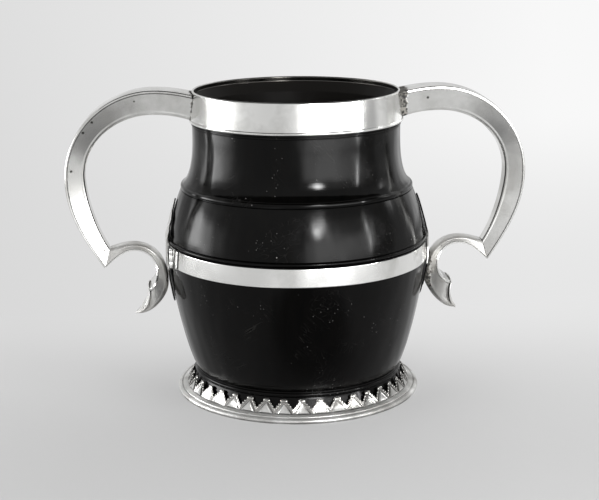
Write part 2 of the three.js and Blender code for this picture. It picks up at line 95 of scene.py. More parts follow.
def chain(points, pulls, counts):
    # curves from point to point, each with its pull at both ends
    line = [points[0]]
    for start, end, (first, second), count in zip(points, points[1:], pulls, counts):
        line += bend(start, first, second, end, count)
    return line


def shifted(radius, height, offsets):
    # points given by how far out and up they are from one point
    return [(radius + out, height + up) for out, up in offsets]


def bead(radius, low, high, rise, count=8):
    line = []
    for i in range(count + 1):
        angle = math.pi * i / count
        line.append((radius + rise * math.sin(angle), (low + high) / 2 - (high - low) / 2 * math.cos(angle)))
    return line


def smooth(share):
    held = min(max(share, 0), 1)
    return held * held * (3 - 2 * held)


# Modelling by the usual operators

def addShape(name, operator, **settings):
    bpy.ops.object.select_all(action="DESELECT")
    operator(location=(0, 0, 0), **settings)
    piece = bpy.context.object
    piece.name = name
    return piece


def selectOnly(*pieces):
    # the first of them is the one that operators work on
    bpy.ops.object.select_all(action="DESELECT")
    for piece in pieces:
        piece.select_set(True)
    bpy.context.view_layer.objects.active = pieces[0]


def startEdit(piece):
    bpy.context.view_layer.objects.active = piece
    bpy.ops.object.mode_set(mode="EDIT")
    bpy.ops.mesh.select_all(action="SELECT")


def endEdit(piece, angle=35):
    bpy.ops.object.mode_set(mode="OBJECT")
    selectOnly(piece)
    bpy.ops.object.shade_smooth_by_angle(angle=math.radians(angle))
    bpy.ops.object.select_all(action="DESELECT")


def turnMesh(angle, axis="Z", middle=(0, 0, 0)):
    # the operator turns the other way round, so it is given the angle in radians with its sign changed
    bpy.ops.transform.rotate(value=-angle, orient_axis=axis, center_override=middle)


def closeMesh():
    # points that meet are joined and every face looks outwards
    bpy.ops.mesh.select_all(action="SELECT")
    bpy.ops.mesh.remove_doubles(threshold=weld)
    bpy.ops.mesh.normals_make_consistent(inside=False)


def applyModifier(piece, kind, **settings):
    selectOnly(piece)
    modifier = piece.modifiers.new(kind.lower(), kind)
    for key, value in settings.items():
        setattr(modifier, key, value)
    bpy.ops.object.modifier_apply(modifier=modifier.name)


def roundEdges(piece, width):
    limit = math.radians(sharpEdge)
    applyModifier(piece, "BEVEL", width=width * mm, segments=2, limit_method="ANGLE", angle_limit=limit)


def turnPiece(name, outline, startAngle=0.0, sweep=360.0, steps=latheSteps, angle=35):
    # an outline of (radius, height) drawn point by point and spun about the cup's axis
    piece = addShape(name, bpy.ops.mesh.primitive_plane_add, size=mm)
    startEdit(piece)
    bpy.ops.mesh.merge(type="CENTER")
    bpy.ops.transform.translate(value=(outline[0][0] * mm, 0, outline[0][1] * mm))
    for here, there in zip(outline, outline[1:]):
        step = ((there[0] - here[0]) * mm, 0, (there[1] - here[1]) * mm)
        bpy.ops.mesh.extrude_vertices_move(TRANSFORM_OT_translate={"value": step})
    bpy.ops.mesh.select_all(action="SELECT")
    bpy.ops.mesh.remove_doubles(threshold=weld)
    turnMesh(math.radians(startAngle))
    if sweep < 360:
        bpy.ops.mesh.edge_face_add()
    bpy.ops.mesh.spin(steps=steps, angle=math.radians(sweep), center=(0, 0, 0), axis=axisUp)
    closeMesh()
    endEdit(piece, angle)
    return piece


def sweepPiece(name, section, stations):
    # a section of (across, down) points carried from station to station by extrude, scale, turn and move.
    # A station is its seat point, its lean, half its width and its depth.
    piece = addShape(
        name, bpy.ops.mesh.primitive_circle_add, vertices=len(section), radius=1, fill_type="NGON",
    )
    seat, lean, halfWidth, depth = stations[0]
    for vertex, point in zip(piece.data.vertices, section):
        vertex.co = Vector((0, point[0] * halfWidth, -point[1] * depth)) * mm
    startEdit(piece)
    turnMesh(lean, "Y")
    bpy.ops.transform.translate(value=(seat[0] * mm, 0, seat[1] * mm))
    for station in stations[1:]:
        nextSeat, nextLean, nextWidth, nextDepth = station
        step = ((nextSeat[0] - seat[0]) * mm, 0, (nextSeat[1] - seat[1]) * mm)
        middle = (nextSeat[0] * mm, 0, nextSeat[1] * mm)
        bpy.ops.mesh.extrude_region_move(TRANSFORM_OT_translate={"value": step})
        turnMesh(-lean, "Y", middle)
        bpy.ops.transform.resize(
            value=(1, nextWidth / halfWidth, nextDepth / depth), center_override=middle,
        )
        turnMesh(nextLean, "Y", middle)
        seat, lean, halfWidth, depth = station
    closeMesh()
    endEdit(piece, 30)
    return piece


def sheetPiece(name, columns, rows, place, thickness, edge):
    # a grid laid out row by row, given its thickness outwards and its edges eased
    piece = addShape(
        name, bpy.ops.mesh.primitive_grid_add, x_subdivisions=columns, y_subdivisions=rows, size=2,
    )
    for vertex in piece.data.vertices:
        vertex.co = place(vertex.co.x, (vertex.co.y + 1) / 2) * mm
    applyModifier(piece, "SOLIDIFY", thickness=thickness * mm, offset=1, use_even_offset=True)
    roundEdges(piece, edge)
    startEdit(piece)
    bpy.ops.mesh.normals_make_consistent(inside=False)
    endEdit(piece, 40)
    return piece


def copyRound(piece, name, angle):
    # a copy with its own mesh, turned about the cup's axis
    selectOnly(piece)
    bpy.ops.object.duplicate(linked=False)
    other = bpy.context.object
    other.name = name
    startEdit(other)
    turnMesh(math.radians(angle))
    endEdit(other, 30)
    return other


def joinParts(name, parts):
    selectOnly(*parts)
    bpy.ops.object.join()
    parts[0].name = name
    return parts[0]


def finishPiece(piece, material, slotName, bodyName, *nodes):
    piece.data.materials.clear()
    piece.data.materials.append(material)
    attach(piece, bodyName)
    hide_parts(*nodes)


# Materials

def srgb(code):
    # a hex colour as Blender's linear values
    parts = [int(code[i:i + 2], 16) / 255 for i in (1, 3, 5)]
    linear = [p / 12.92 if p <= 0.04045 else ((p + 0.055) / 1.055) ** 2.4 for p in parts]
    return (*linear, 1)


def addNode(material, kind, settings):
    # a node or an output among the settings is linked, and any other value is set
    tree = material.node_tree
    node = tree.nodes.new("ShaderNode" + kind)
    for key, value in settings.items():
        if isinstance(value, bpy.types.Node):
            value = next(output for output in value.outputs if output.enabled)
        if isinstance(value, bpy.types.NodeSocket):
            tree.links.new(value, node.inputs[key])
        elif isinstance(key, int) or key in node.inputs:
            node.inputs[key].default_value = value
        else:
            setattr(node, key, value)
    return node


def newMaterial(name):
    # an empty material and the place of each point of the piece that wears it
    material = bpy.data.materials.new(name)
    material.use_nodes = True
    material.node_tree.nodes.clear()
    return material, addNode(material, "TexCoord", {}).outputs["Object"]


def span(fromLow, fromHigh, toLow=0.0, toHigh=1.0):
    # what a range of values becomes
    return {"From Min": fromLow, "From Max": fromHigh, "To Min": toLow, "To Max": toHigh}


def setStops(node, stops):
    ramp = node.color_ramp
    while len(ramp.elements) > 1:
        ramp.elements.remove(ramp.elements[-1])
    for i, (position, colour) in enumerate(stops):
        stop = ramp.elements.new(position) if i else ramp.elements[0]
        stop.position = position
        stop.color = srgb(colour) if isinstance(colour, str) else colour
    return node


def paint(material, colour, layers):
    # each mask lays its own colour over what is there
    for mask, over in layers:
        above = srgb(over) if isinstance(over, str) else over
        colour = addNode(material, "Mix", {"data_type": "RGBA", "Factor": mask, "A": colour, "B": above})
    return colour


def relief(material, layers):
    # bumps one over another, each with its strength, its height in millimetres and its pattern
    under = {}
    for strength, height, pattern in layers:
        own = {"Strength": strength, "Distance": height * mm, "Height": pattern}
        under = {"Normal": addNode(material, "Bump", {**own, **under})}
    return under["Normal"]


def largest(material, values):
    top = values[0]
    for value in values[1:]:
        top = addNode(material, "Math", {"operation": "MAXIMUM", 0: top, 1: value})
    return top


def gated(material, place, mask, gate):
    # a mask only where a slow noise lets it through
    scale, detail, start, soft, strength = gate
    slow = addNode(material, "TexNoise", {"Scale": scale, "Detail": detail, "Vector": place})
    share = addNode(material, "MapRange", {**span(start, start + soft, 0, strength), "Value": slow})
    return addNode(material, "Math", {"operation": "MULTIPLY", 0: mask, 1: share})


def nearMask(material, value, middle, low, high, strength=1.0):
    # by how far a value is from its middle
    off = addNode(material, "Math", {"operation": "SUBTRACT", 0: value, 1: middle})
    away = addNode(material, "Math", {"operation": "ABSOLUTE", 0: off})
    return addNode(material, "MapRange", {**span(low, high, 0, strength), "Value": away})


def spotMask(material, place, scale, size, gate):
    # small spots of one size
    cells = addNode(material, "TexVoronoi", {"Scale": scale, "Randomness": 1, "Vector": place})
    spots = addNode(material, "MapRange", {**span(size, size * 0.6), "Value": cells.outputs["Distance"]})
    return gated(material, place, spots, gate)


def lineMask(material, place, turned, scale, width, gate):
    # long hairlines along the level lines of a drawn-out noise
    drawn = addNode(
        material, "Mapping",
        {"vector_type": "TEXTURE", "Rotation": turned, "Scale": (1, 1, 14), "Vector": place},
    )
    noise = addNode(material, "TexNoise", {"Scale": scale, "Detail": 1, "Vector": drawn})
    return gated(material, place, nearMask(material, noise, 0.5, width, 0), gate)


def pointMask(material, place, point, size, core):
    # one round spot, its place and size in millimetres
    away = addNode(material, "VectorMath", {"operation": "DISTANCE", 0: place, 1: Vector(point) * mm})
    return addNode(material, "MapRange", {**span(size * mm, size * core * mm), "Value": away})


def facingMask(material, place, low, high):
    # by how far a surface faces out from the cup's axis: 1 straight out, -1 straight at the axis
    around = addNode(material, "VectorMath", {"operation": "MULTIPLY", 0: place, 1: (1, 1, 0)})
    outward = addNode(material, "VectorMath", {"operation": "NORMALIZE", 0: around})
    normal = addNode(material, "NewGeometry", {}).outputs["Normal"]
    facing = addNode(material, "VectorMath", {"operation": "DOT_PRODUCT", 0: normal, 1: outward})
    return addNode(material, "MapRange", {**span(low, high), "Value": facing})


def polar(material, place):
    # the angle about the cup's axis in radians, and the height
    parts = addNode(material, "SeparateXYZ", {"Vector": place})
    across, deep, up = (parts.outputs[axis] for axis in "XYZ")
    return addNode(material, "Math", {"operation": "ARCTAN2", 0: deep, 1: across}), up


# Waxed and burnished ebony-like hardwood, turned on a lathe: near black, a hard gloss from the
# burnishing that ripples with the hand-cut surface, faint turning rings, fine scratches, and pale
# specks and chips where the wax has come away. Marks have a scale and a size, then the slow noise that
# lets them through: its scale, detail, first level and softness, and how strongly they show there.
hardwood = {
    "grain": [(0.3, "#030303"), (0.75, "#080706")],
    "ior": 1.23,
    "rough": (0.11, 0.3),
    "inside": "#161412",
    "insideRough": 0.5,
    "speck": "#8E8C8A",
    "specks": [(420, 0.13, (48, 2, 0.58, 0.05, 0.55)), (150, 0.075, (60, 2, 0.6, 0.05, 0.85))],
    "scratch": "#5C5A58",
    "scratches": [
        ((0.5, 0.9, 0), 260, 0.008, (40, 1, 0.55, 0.08, 0.16)),
        ((-0.3, -0.7, 0.4), 300, 0.008, (46, 1, 0.57, 0.08, 0.16)),
    ],
    "chip": ((-16.3, -73.6, 98), 0.5, 0.4),
    "chipColour": "#F2EFEA",
}


def makeHardwood():
    material, place = newMaterial("burnishedHardwood")
    along = addNode(material, "Mapping", {"Scale": (1, 1, 0.12), "Vector": place})
    grain = addNode(material, "TexNoise", {"Scale": 260, "Detail": 6, "Roughness": 0.6, "Vector": along})
    tone = setStops(addNode(material, "ValToRGB", {"Fac": grain}), hardwood["grain"])
    inward = facingMask(material, place, -0.05, -0.2)
    layers = [(spotMask(material, place, *marks), hardwood["speck"]) for marks in hardwood["specks"]]
    layers += [(lineMask(material, place, *marks), hardwood["scratch"]) for marks in hardwood["scratches"]]
    layers.append((pointMask(material, place, *hardwood["chip"]), hardwood["chipColour"]))
    layers.append((inward, hardwood["inside"]))
    smear = addNode(material, "TexNoise", {"Scale": 38, "Detail": 5, "Roughness": 0.62, "Vector": place})
    gloss = addNode(material, "MapRange", {**span(0.42, 0.72, *hardwood["rough"]), "Value": smear})
    matt = addNode(material, "Math", {"operation": "MULTIPLY", 0: inward, 1: hardwood["insideRough"]})
    rings = addNode(material, "Mapping", {"Scale": (6, 6, 900), "Vector": place})
    turning = addNode(material, "TexNoise", {"Scale": 1, "Detail": 2, "Vector": rings})
    pores = addNode(material, "TexNoise", {"Scale": 900, "Detail": 3, "Vector": along})
    upright = addNode(material, "Mapping", {"Scale": (1, 1, 0.4), "Vector": place})
    ripple = addNode(material, "TexNoise", {"Scale": 75, "Detail": 1, "Vector": upright})
    shader = addNode(material, "BsdfPrincipled", {
        "IOR": hardwood["ior"],
        "Metallic": 0,
        "Base Color": paint(material, tone, layers),
        "Roughness": largest(material, [gloss, matt]),
        "Normal": relief(material, [(0.25, 0.05, turning), (0.2, 0.04, pores), (0.9, 0.6, ripple)]),
    })
    addNode(material, "OutputMaterial", {"Surface": shader})
    return material


# Old sterling silver, hand-raised and polished by hand for centuries: a soft bright gloss, thin
# tarnish in patches, black dirt and painted shade in every crevice, hairline scratches, small pits and
# shallow dents
sterling = {
    "bright": "#EDEDEB",
    "dirtAndShade": "#1C1A18",
    "pit": "#4A4845",
    "pitting": (130, 0.085, (34, 2, 0.61, 0.05, 0.7)),
    "crevice": 0.9,
    "metal": 1.0,
}
# how worn each part is: its tarnish from this noise level up and the tarnish's colour, its smoothest and
# roughest patches, its dents and how far out of a crevice the dirt and painted shade reach in millimetres,
# and how much of it is bare metal, the rest being dull film
wear = {
    "mount": {"name": "polished", "from": 0.44, "dark": "#BDBCB9", "rough": (0.13, 0.27), "dent": 0.07},
    "band": {"name": "band", "from": 0.5, "dark": "#C9C8C5", "rough": (0.1, 0.22), "dent": 0.04},
    "foot": {"name": "scuffed", "from": 0.36, "dark": "#9F9E9B", "rough": (0.32, 0.55), "dent": 0.08},
    "leaves": {"name": "castLeaf", "from": 0.38, "dark": "#9C9B97", "rough": (0.14, 0.26), "dent": 0.06},
    "handle": {"name": "handle", "from": 0.4, "dark": "#C2C1BE", "rough": (0.11, 0.22), "dent": 0.12},
    "scroll": {"name": "tarnished", "from": 0.36, "dark": "#B7B5B1", "rough": (0.3, 0.5), "dent": 0.3},
    "cap": {"name": "hammeredCap", "from": 0.36, "dark": "#C6C4C0", "rough": (0.3, 0.5), "dent": 0.15},
    "plate": {"name": "darkEdgedPlate", "from": 0.3, "dark": "#B3B2AF", "rough": (0.25, 0.4), "dent": 0.1},
    "hinge": {"name": "hinge", "from": 0.5, "dark": "#C9C8C5", "rough": (0.3, 0.4), "dent": 0.04},
    "edge": {"name": "rubbedEdge", "from": 0.5, "dark": "#C9C8C5", "rough": (0.1, 0.22), "dent": 0.05},
}
wear["foot"]["metal"] = 0.68
wear["scroll"]["metal"] = 0.6
wear["cap"].update({"metal": 0.6, "crevice": 0.2})
wear["plate"]["metal"] = 0.9
wear["hinge"]["crevice"] = 0.25
wear["edge"]["crevice"] = 0.3
# solder at each joint: its reach from the cup's axis, how ragged it is, and how much further it runs on
# the right, and its mottled tones
solder = {
    "root": (62.5, 0.9, 3.0), "contact": (78.6, 1.6, 2.2), "tones": [(0.42, "#262422"), (0.6, "#A5A29C")],
}


def solderMask(material, place, reach, ragged, extraRight):
    # the lumpy grey solder within a ragged reach of the cup's axis
    flat = addNode(material, "VectorMath", {"operation": "MULTIPLY", 0: place, 1: (1, 1, 0)})
    edge = addNode(material, "VectorMath", {"operation": "LENGTH", 0: flat})
    noise = addNode(material, "TexNoise", {"Scale": 520, "Detail": 3, "Vector": place})
    shift = addNode(material, "MapRange", {**span(0.3, 0.7, -ragged * mm, ragged * mm), "Value": noise})
    right = addNode(material, "SeparateXYZ", {"Vector": place}).outputs["X"]
    more = addNode(material, "MapRange", {**span(-0.01, 0.01, 0, -extraRight * mm), "Value": right})
    for part in (shift, more):
        edge = addNode(material, "Math", {"operation": "ADD", 0: edge, 1: part})
    return addNode(material, "MapRange", {**span(reach * mm, (reach - 0.8) * mm, 0, 0.9), "Value": edge})


def makeSilver(part, marks=None, joint=None, matt=False):
    # marks draws what only this part has, and matt marks are rough as well
    worn = {**sterling, **wear[part]}
    material, place = newMaterial(worn["name"] + "Sterling")
    cloud = addNode(material, "TexNoise", {"Scale": 45, "Detail": 4, "Roughness": 0.55, "Vector": place})
    stops = [(worn["from"], worn["bright"]), (worn["from"] + 0.3, worn["dark"])]
    tone = setStops(addNode(material, "ValToRGB", {"Fac": cloud}), stops)
    own = marks(material, place) if marks else []
    # black dirt and painted shade: the colour darkens wherever ambient occlusion finds the surface hemmed in
    hollow = addNode(material, "AmbientOcclusion", {"samples": 8, "Distance": worn["crevice"] * mm})
    dirtAndShade = addNode(material, "MapRange", {**span(0.82, 0.4, 0, 0.95), "Value": hollow.outputs["AO"]})
    layers = [(spotMask(material, place, *worn["pitting"]), worn["pit"])] + own + [(dirtAndShade, worn["dirtAndShade"])]
    rough = [addNode(material, "MapRange", {**span(0.35, 0.7, *worn["rough"]), "Value": cloud})]
    hair = addNode(
        material, "Mapping", {"Scale": (1, 1, 0.05), "Rotation": (0.5, 0.3, 0.2), "Vector": place},
    )
    scratch = addNode(material, "TexNoise", {"Scale": 1500, "Detail": 2, "Vector": hair})
    dents = addNode(material, "TexNoise", {"Scale": 70, "Detail": 1, "Vector": place})
    bumps = [(0.12, 0.03, scratch), (0.5, worn["dent"], dents)]
    if matt:
        rough += [mask for mask, _ in own]
    if joint:
        lumps = solderMask(material, place, *joint)
        mottle = addNode(material, "TexNoise", {"Scale": 700, "Detail": 2, "Vector": place})
        layers.append((lumps, setStops(addNode(material, "ValToRGB", {"Fac": mottle}), solder["tones"])))
        rough.append(lumps)
        grit = addNode(material, "TexNoise", {"Scale": 900, "Detail": 2, "Vector": place})
        bumps.append((0.8, 0.5, addNode(material, "Math", {"operation": "MULTIPLY", 0: grit, 1: lumps})))
    shader = addNode(material, "BsdfPrincipled", {
        "Metallic": worn["metal"],
        "Specular IOR Level": worn["metal"] * 0.5,
        "Base Color": paint(material, tone, layers),
        "Roughness": largest(material, rough),
        "Normal": relief(material, bumps),
    })
    addNode(material, "OutputMaterial", {"Surface": shader})
    return material


# Turned body
rim = {
    "height": 181, "radius": 61, "lip": 1.4, "collar": 3, "depth": 17.8, "flare": 1.4, "sheet": 0.6,
    "bead": 0.55, "face": 1.6, "insideShadeTone": "#4E4C49",
}
wood = {
    "neckRadius": 61.2, "neckHeight": 154, "shoulderRadius": 68.6, "shoulderHeight": 125, "fillet": 2.4,
    "ankleRadius": 61.5, "ankleHeight": 15.2, "ankleBead": 1.1, "wall": 5.3, "floor": 16, "recess": 2.4,
    "beadHeight": 2.6,
}
band = {"bottom": 81.2, "height": 10.6, "radius": 77.5, "taper": 0.7, "sheet": 0.9}
foot = {"radius": 73, "height": 3.8, "inner": 57}
seat = 0.3
bandTop = band["bottom"] + band["height"]
bandMiddle = band["bottom"] + band["height"] / 2
mountBottom = rim["height"] - rim["depth"]
mountFootRadius = rim["radius"] + rim["flare"]

bellyLine = bend(
    (wood["ankleRadius"], wood["ankleHeight"]), (0.29, 0.1), (0.156, 0.395),
    (band["radius"] - 0.6, band["bottom"] - seat), 26,
)
chestStart = (band["radius"] - band["taper"] - 0.8, bandTop + seat + wood["beadHeight"] + 0.5)
chestEnd = (wood["shoulderRadius"] + 0.1, wood["shoulderHeight"] - wood["fillet"] / 2 - 0.5)
chestLine = bend(chestStart, (0.12, 0.35), (0.45, 0.28), chestEnd, 14)
coveStart = (wood["shoulderRadius"] - 1.3, wood["shoulderHeight"] + wood["fillet"] / 2 + 0.7)
coveLine = bend(coveStart, (0.62, 0.115), (0, 0.56), (wood["neckRadius"], wood["neckHeight"]), 22)


def woodRadius(z):
    line = bellyLine + [chestStart] + chestLine + coveLine
    for here, there in zip(line, line[1:]):
        if here[1] <= z <= there[1]:
            share = (z - here[1]) / (there[1] - here[1])
            return here[0] + share * (there[0] - here[0])
    return line[0][0] if z < line[0][1] else wood["neckRadius"]


def bodyOutline():
    footSeat = foot["height"] + 0.1
    beadLow = wood["ankleHeight"] - 3.2
    beadHigh = wood["ankleHeight"] - 0.5
    head = band["radius"] - band["taper"]
    flareFoot = (wood["ankleRadius"] + 3.5, footSeat)
    underMount = mountFootRadius - rim["sheet"] - 0.1
    top = rim["height"] - rim["collar"] - 0.1
    outline = [(0, footSeat + wood["recess"]), (foot["inner"] - 6, footSeat + wood["recess"])]
    outline += [(foot["inner"] - 4, footSeat), flareFoot]
    outline += bend(flareFoot, (0.31, 0.21), (0.19, 0.26), (wood["ankleRadius"] + 0.3, beadLow - 0.3), 6)
    outline += bead(wood["ankleRadius"] + 0.1, beadLow, beadHigh, wood["ankleBead"])
    outline += [(wood["ankleRadius"], wood["ankleHeight"])] + bellyLine
    under = band["sheet"] + 0.1
    outline += [(band["radius"] - under, band["bottom"] - seat + 0.1)]
    outline += shifted(head, bandTop, [(-under, 0), (-0.1, 0.15), (0.45, 0.3), (0.5, 0.7), (-0.35, 0.95)])
    outline += bead(head - 0.15, bandTop + 1.1, bandTop + seat + wood["beadHeight"] + 0.1, 0.75)
    outline += [(chestStart[0] - 0.15, chestStart[1] - 0.2), chestStart] + chestLine
    outline += shifted(wood["shoulderRadius"], wood["shoulderHeight"], [
        (-0.5, -1.45), (-0.45, -1.2), (0.05, -1.0), (0.12, -0.3), (0.1, 0.6), (-0.1, 1.0), (-0.55, 1.25),
        (-1.2, 1.6),
    ])
    outline += [coveStart] + coveLine
    outline += shifted(wood["neckRadius"], mountBottom, [
        (0, -3.0), (-0.05, -2.6), (-0.35, -2.5), (-0.35, -2.25), (0.35, -2.1), (0.45, -1.7), (0.4, -1.3),
        (-0.2, -1.15), (-0.2, -0.95), (0.5, -0.8), (0.55, -0.3),
    ])
    outline += [(underMount, mountBottom), (underMount, mountBottom + 1.6)]
    outline += [(rim["radius"] - rim["sheet"] - 0.1, top), (rim["radius"] - rim["lip"] - 0.2, top)]
    wall = wood["wall"]
    for z in (172, 166, 160, 154, 148, 142, 136, 130, 124, 116, 108, 100, 92, 84, 76, 68, 60, 52, 44, 36, 28):
        outline.append((woodRadius(z) - wall, z))
    floorStart = outline[-1]
    floorEnd = ((wood["ankleRadius"] - wall) * 0.55, wood["floor"] + 0.6)
    outline += bend(floorStart, (0.08, 0.44), (0.55, 0.09), floorEnd, 10)
    outline.append((0, wood["floor"]))
    return outline


turnedBody = turnPiece("turned_body_wood", bodyOutline(), angle=30)
finishPiece(turnedBody, makeHardwood(), "wood", "cup", "turned_body")
print("body turned")


# Rim mount
def mountOutline():
    inner = rim["radius"] - rim["lip"]
    top = rim["height"]
    headInner = rim["radius"] - rim["sheet"]
    footInner = mountFootRadius - rim["sheet"]
    outline = [(inner - 0.07, top - rim["collar"]), (headInner, top - rim["collar"])]
    outline += [(footInner, mountBottom + rim["face"]), (footInner, mountBottom)]
    outline += bead(mountFootRadius, mountBottom, mountBottom + rim["face"], rim["bead"], 8)
    outline += [(mountFootRadius - 0.08, mountBottom + rim["face"] + 0.25)]
    for share in (0.02, 0.04, 0.25, 0.5, 0.75, 0.96, 0.98):
        z = mountBottom + 2 + (top - 0.9 - mountBottom - 2) * share
        outline.append((mountFootRadius + (rim["radius"] - mountFootRadius) * share ** 0.8, z))
    for i in range(9):
        angle = math.pi * i / 8
        half = rim["lip"] / 2
        outline.append((rim["radius"] - half + half * math.cos(angle), top - 0.7 + 0.7 * math.sin(angle)))
    return outline + shifted(inner, top, [
        (0, -0.85), (0, -1), (0, -2.6), (0, -2.72), (-0.07, -2.82), (-0.07, -rim["collar"]),
    ])


def paintedInsideShade(material, place):
    # painted shade: faces turning in towards the axis are darkened, standing in for the dark inside of the
    # cup that the collar reflects
    return [(facingMask(material, place, -0.8, -0.97), rim["insideShadeTone"])]


rimMount = turnPiece("rim_mount_silver", mountOutline(), angle=40)
finishPiece(rimMount, makeSilver("mount", paintedInsideShade), "silver", "cup", "rim_mount")


# Waist band and its hinge
hinge = {
    "angle": -161.2, "split": 0.35, "knuckle": 1.2, "ease": 0.07, "apart": 0.08, "pin": 0.5, "pinGap": 0.1,
    "head": 1.0, "headHeight": 0.9, "middle": 3.85, "lapFrom": 3.3, "lapTo": 5.5, "web": 0.3, "leaf": 0.85,
    "slit": 50.7, "slitHalf": 7, "slitDepth": 0.3, "lapGap": 0.03, "webIn": 0.4, "webShort": 0.5,
    "shadowLines": [(1.25, 2.9), (5.6, 6.8)], "shadowLineTone": "#050505",
}


def bandOuter(z):
    return band["radius"] - band["taper"] * (z - band["bottom"]) / band["height"]


def bandOutline():
    head = band["radius"] - band["taper"]
    sheet = band["sheet"]
    outline = shifted(band["radius"], band["bottom"], [(-sheet, 0), (-0.3, 0), (-0.09, 0.09)])
    outline += [(bandOuter(band["bottom"] + rise), band["bottom"] + rise) for rise in (0.3, 0.5, 0.7)]
    outline += [(bandOuter(bandTop - drop), bandTop - drop) for drop in (0.7, 0.5, 0.3)]
    outline += shifted(head, bandTop, [(-0.09, -0.09), (-0.3, 0), (-sheet, 0)])
    return outline + [(band["radius"] - sheet, band["bottom"])]


def shadowLineMarks(material, place):
    # painted shadow lines along the band and the hinge's web beside the lapped leaf's steps, each from one
    # arc length to another
    radius = band["radius"]
    settings = {"operation": "MULTIPLY_ADD", 1: radius, 2: -math.radians(hinge["angle"]) * radius}
    arc = addNode(material, "Math", {**settings, 0: polar(material, place)[0]})
    lines = []
    for start, end in hinge["shadowLines"]:
        half = (end - start) / 2
        lines.append(nearMask(material, arc, (start + end) / 2, half, half * 0.7, 0.95))
    return [(largest(material, lines), hinge["shadowLineTone"])]


waistBand = turnPiece(
    "waist_band_silver", bandOutline(), hinge["angle"] + hinge["split"], 360 - 2 * hinge["split"], angle=40,
)
finishPiece(waistBand, makeSilver("band", shadowLineMarks, matt=True), "silver", "cup", "waist_band")


# Foot ring
footOutline = [(foot["inner"], 0)] + shifted(foot["radius"], 0, [
    (-0.6, 0), (-0.25, 0.12), (-0.2, 0.4), (-0.4, 0.6), (-0.1, 0.8), (0, 1.15), (-0.05, 1.5), (-0.4, 2.0),
    (-0.85, 2.4), (-1.4, 2.72), (-1.9, 2.82), (-2.25, 2.6), (-2.5, 2.5), (-2.75, 2.7), (-2.95, 3.12),
    (-3.4, 3.32), (-5.0, 3.72), (-5.4, 3.8),
]) + [(foot["inner"], 3.8), (foot["inner"], 0)]
footRing = turnPiece("foot_ring_silver", footOutline, angle=40)
finishPiece(footRing, makeSilver("foot"), "silver", "cup", "foot_ring")
print("mounts turned")


# Handles of two scrolls each: where their lines run, then the sizes of their sheets
handleLines = {
    "rootIn": 0.9, "rootDrop": 2, "crestRise": 1.1, "crestOut": 22.5, "crestDepth": 14.4, "reach": 135.5,
    "reachRise": 44, "sideDepth": 11.2, "heelInset": 20.9, "heelDrop": 9.3, "heelSeatIn": 3,
    "heelSeatUp": 11.3, "contactDrop": 20.5, "contactGap": 0.85, "scrollWidth": 20.6, "scrollRise": 4.5,
    "scrollEndOut": 17.5, "scrollEndDrop": 39.7, "faceTopIn": 1.1, "faceTopDrop": 3.6,
    "faceSideOut": 6.6, "faceSideUp": 8, "faceEndOut": 13.5, "faceEndDrop": 22.2,
}
handleSizes = {
    "upper": 9.4, "lower": 6.8, "terminal": 12, "corner": 2.6, "strip": 0.9, "crown": 0.6, "overhang": 0.3,
    "cap": 0.55, "capBow": 2.6, "capSeat": 0.32, "capRound": 0.9, "capEase": 0.2, "mitre": 0.3,
    "rootWiden": 1.1, "narrowed": 2.4,
}
# the two handles were raised by hand and differ a little at the small scroll's end
handleSides = {
    "right": {"turned": 0, "changes": {"faceEndOut": 14.6, "scrollEndOut": 18.2}},
    "left": {"turned": 180, "changes": {"faceEndOut": 11.4, "scrollEndOut": 18.6, "scrollEndDrop": 38.4}},
}
plate = {
    "sheet": 0.8, "up": 30.5, "down": 32, "half": 13.4, "off": 0.55, "ease": 0.18, "edgeShadowTone": "#0E0D0C",
    "brightHalf": 8.5, "overBand": 0.4,
}
plateOverBand = band["radius"] + plate["overBand"]


def plateInner(z):
    restLow = band["bottom"] - 1
    restHigh = bandTop + wood["beadHeight"] + 0.8
    if restLow <= z <= restHigh:
        return plateOverBand
    rest = restHigh if z > restHigh else restLow
    tip = bandMiddle + plate["up"] if z > restHigh else bandMiddle - plate["down"]
    share = (z - rest) / (tip - rest)
    lift = plateOverBand - woodRadius(rest) - plate["off"]
    # above the band the plate soon comes down to the wood
    return woodRadius(z) + plate["off"] + lift * (1 - share) ** (3 if z > restHigh else 1)


def upperWidth(along):
    wide = handleSizes["upper"] + handleSizes["rootWiden"] * (1 - smooth(along / 0.15))
    return wide - handleSizes["narrowed"] * smooth((along - 0.3) / 0.7)


def lowerWidth(along):
    heelWidth = handleSizes["upper"] - handleSizes["narrowed"]
    lower = handleSizes["lower"]
    fromHeel = (heelWidth - lower) * (1 - smooth(along / 0.3))
    wide = lower + fromHeel + (handleSizes["terminal"] - lower) * smooth((along - 0.45) / 0.5)
    return wide - handleSizes["corner"] * max(0, (along - 0.9) / 0.1) ** 3


quarterTurn = ((0.5523, 0), (0, 0.5523))
upperCounts = (8, 30, 20)
lowerCounts = (12, 22, 16)
# the pulls of each line's three curves, and how many steps each curve has
linePulls = {
    "back": ([((0.317, 0.61), (0.34, 0)), quarterTurn, ((0, 0.33), (0.7225, 0.4165))], upperCounts),
    "under": ([((0.314, 0.684), (0.3865, 0)), quarterTurn, ((0, 0.244), (0.661, 0.316))], upperCounts),
    "face": (
        [((0.333, 0.5625), (0.375, 0)), ((0.64, 0), (0, 0.5)), ((0, 0.45), (0.5, 0.25))], lowerCounts,
    ),
    "crown": (
        [((0.365, 0.5), (0.397, 0)), ((0.56, 0), (0, 0.68)), ((0, 0.36), (0.555, 0.04))], lowerCounts,
    ),
}


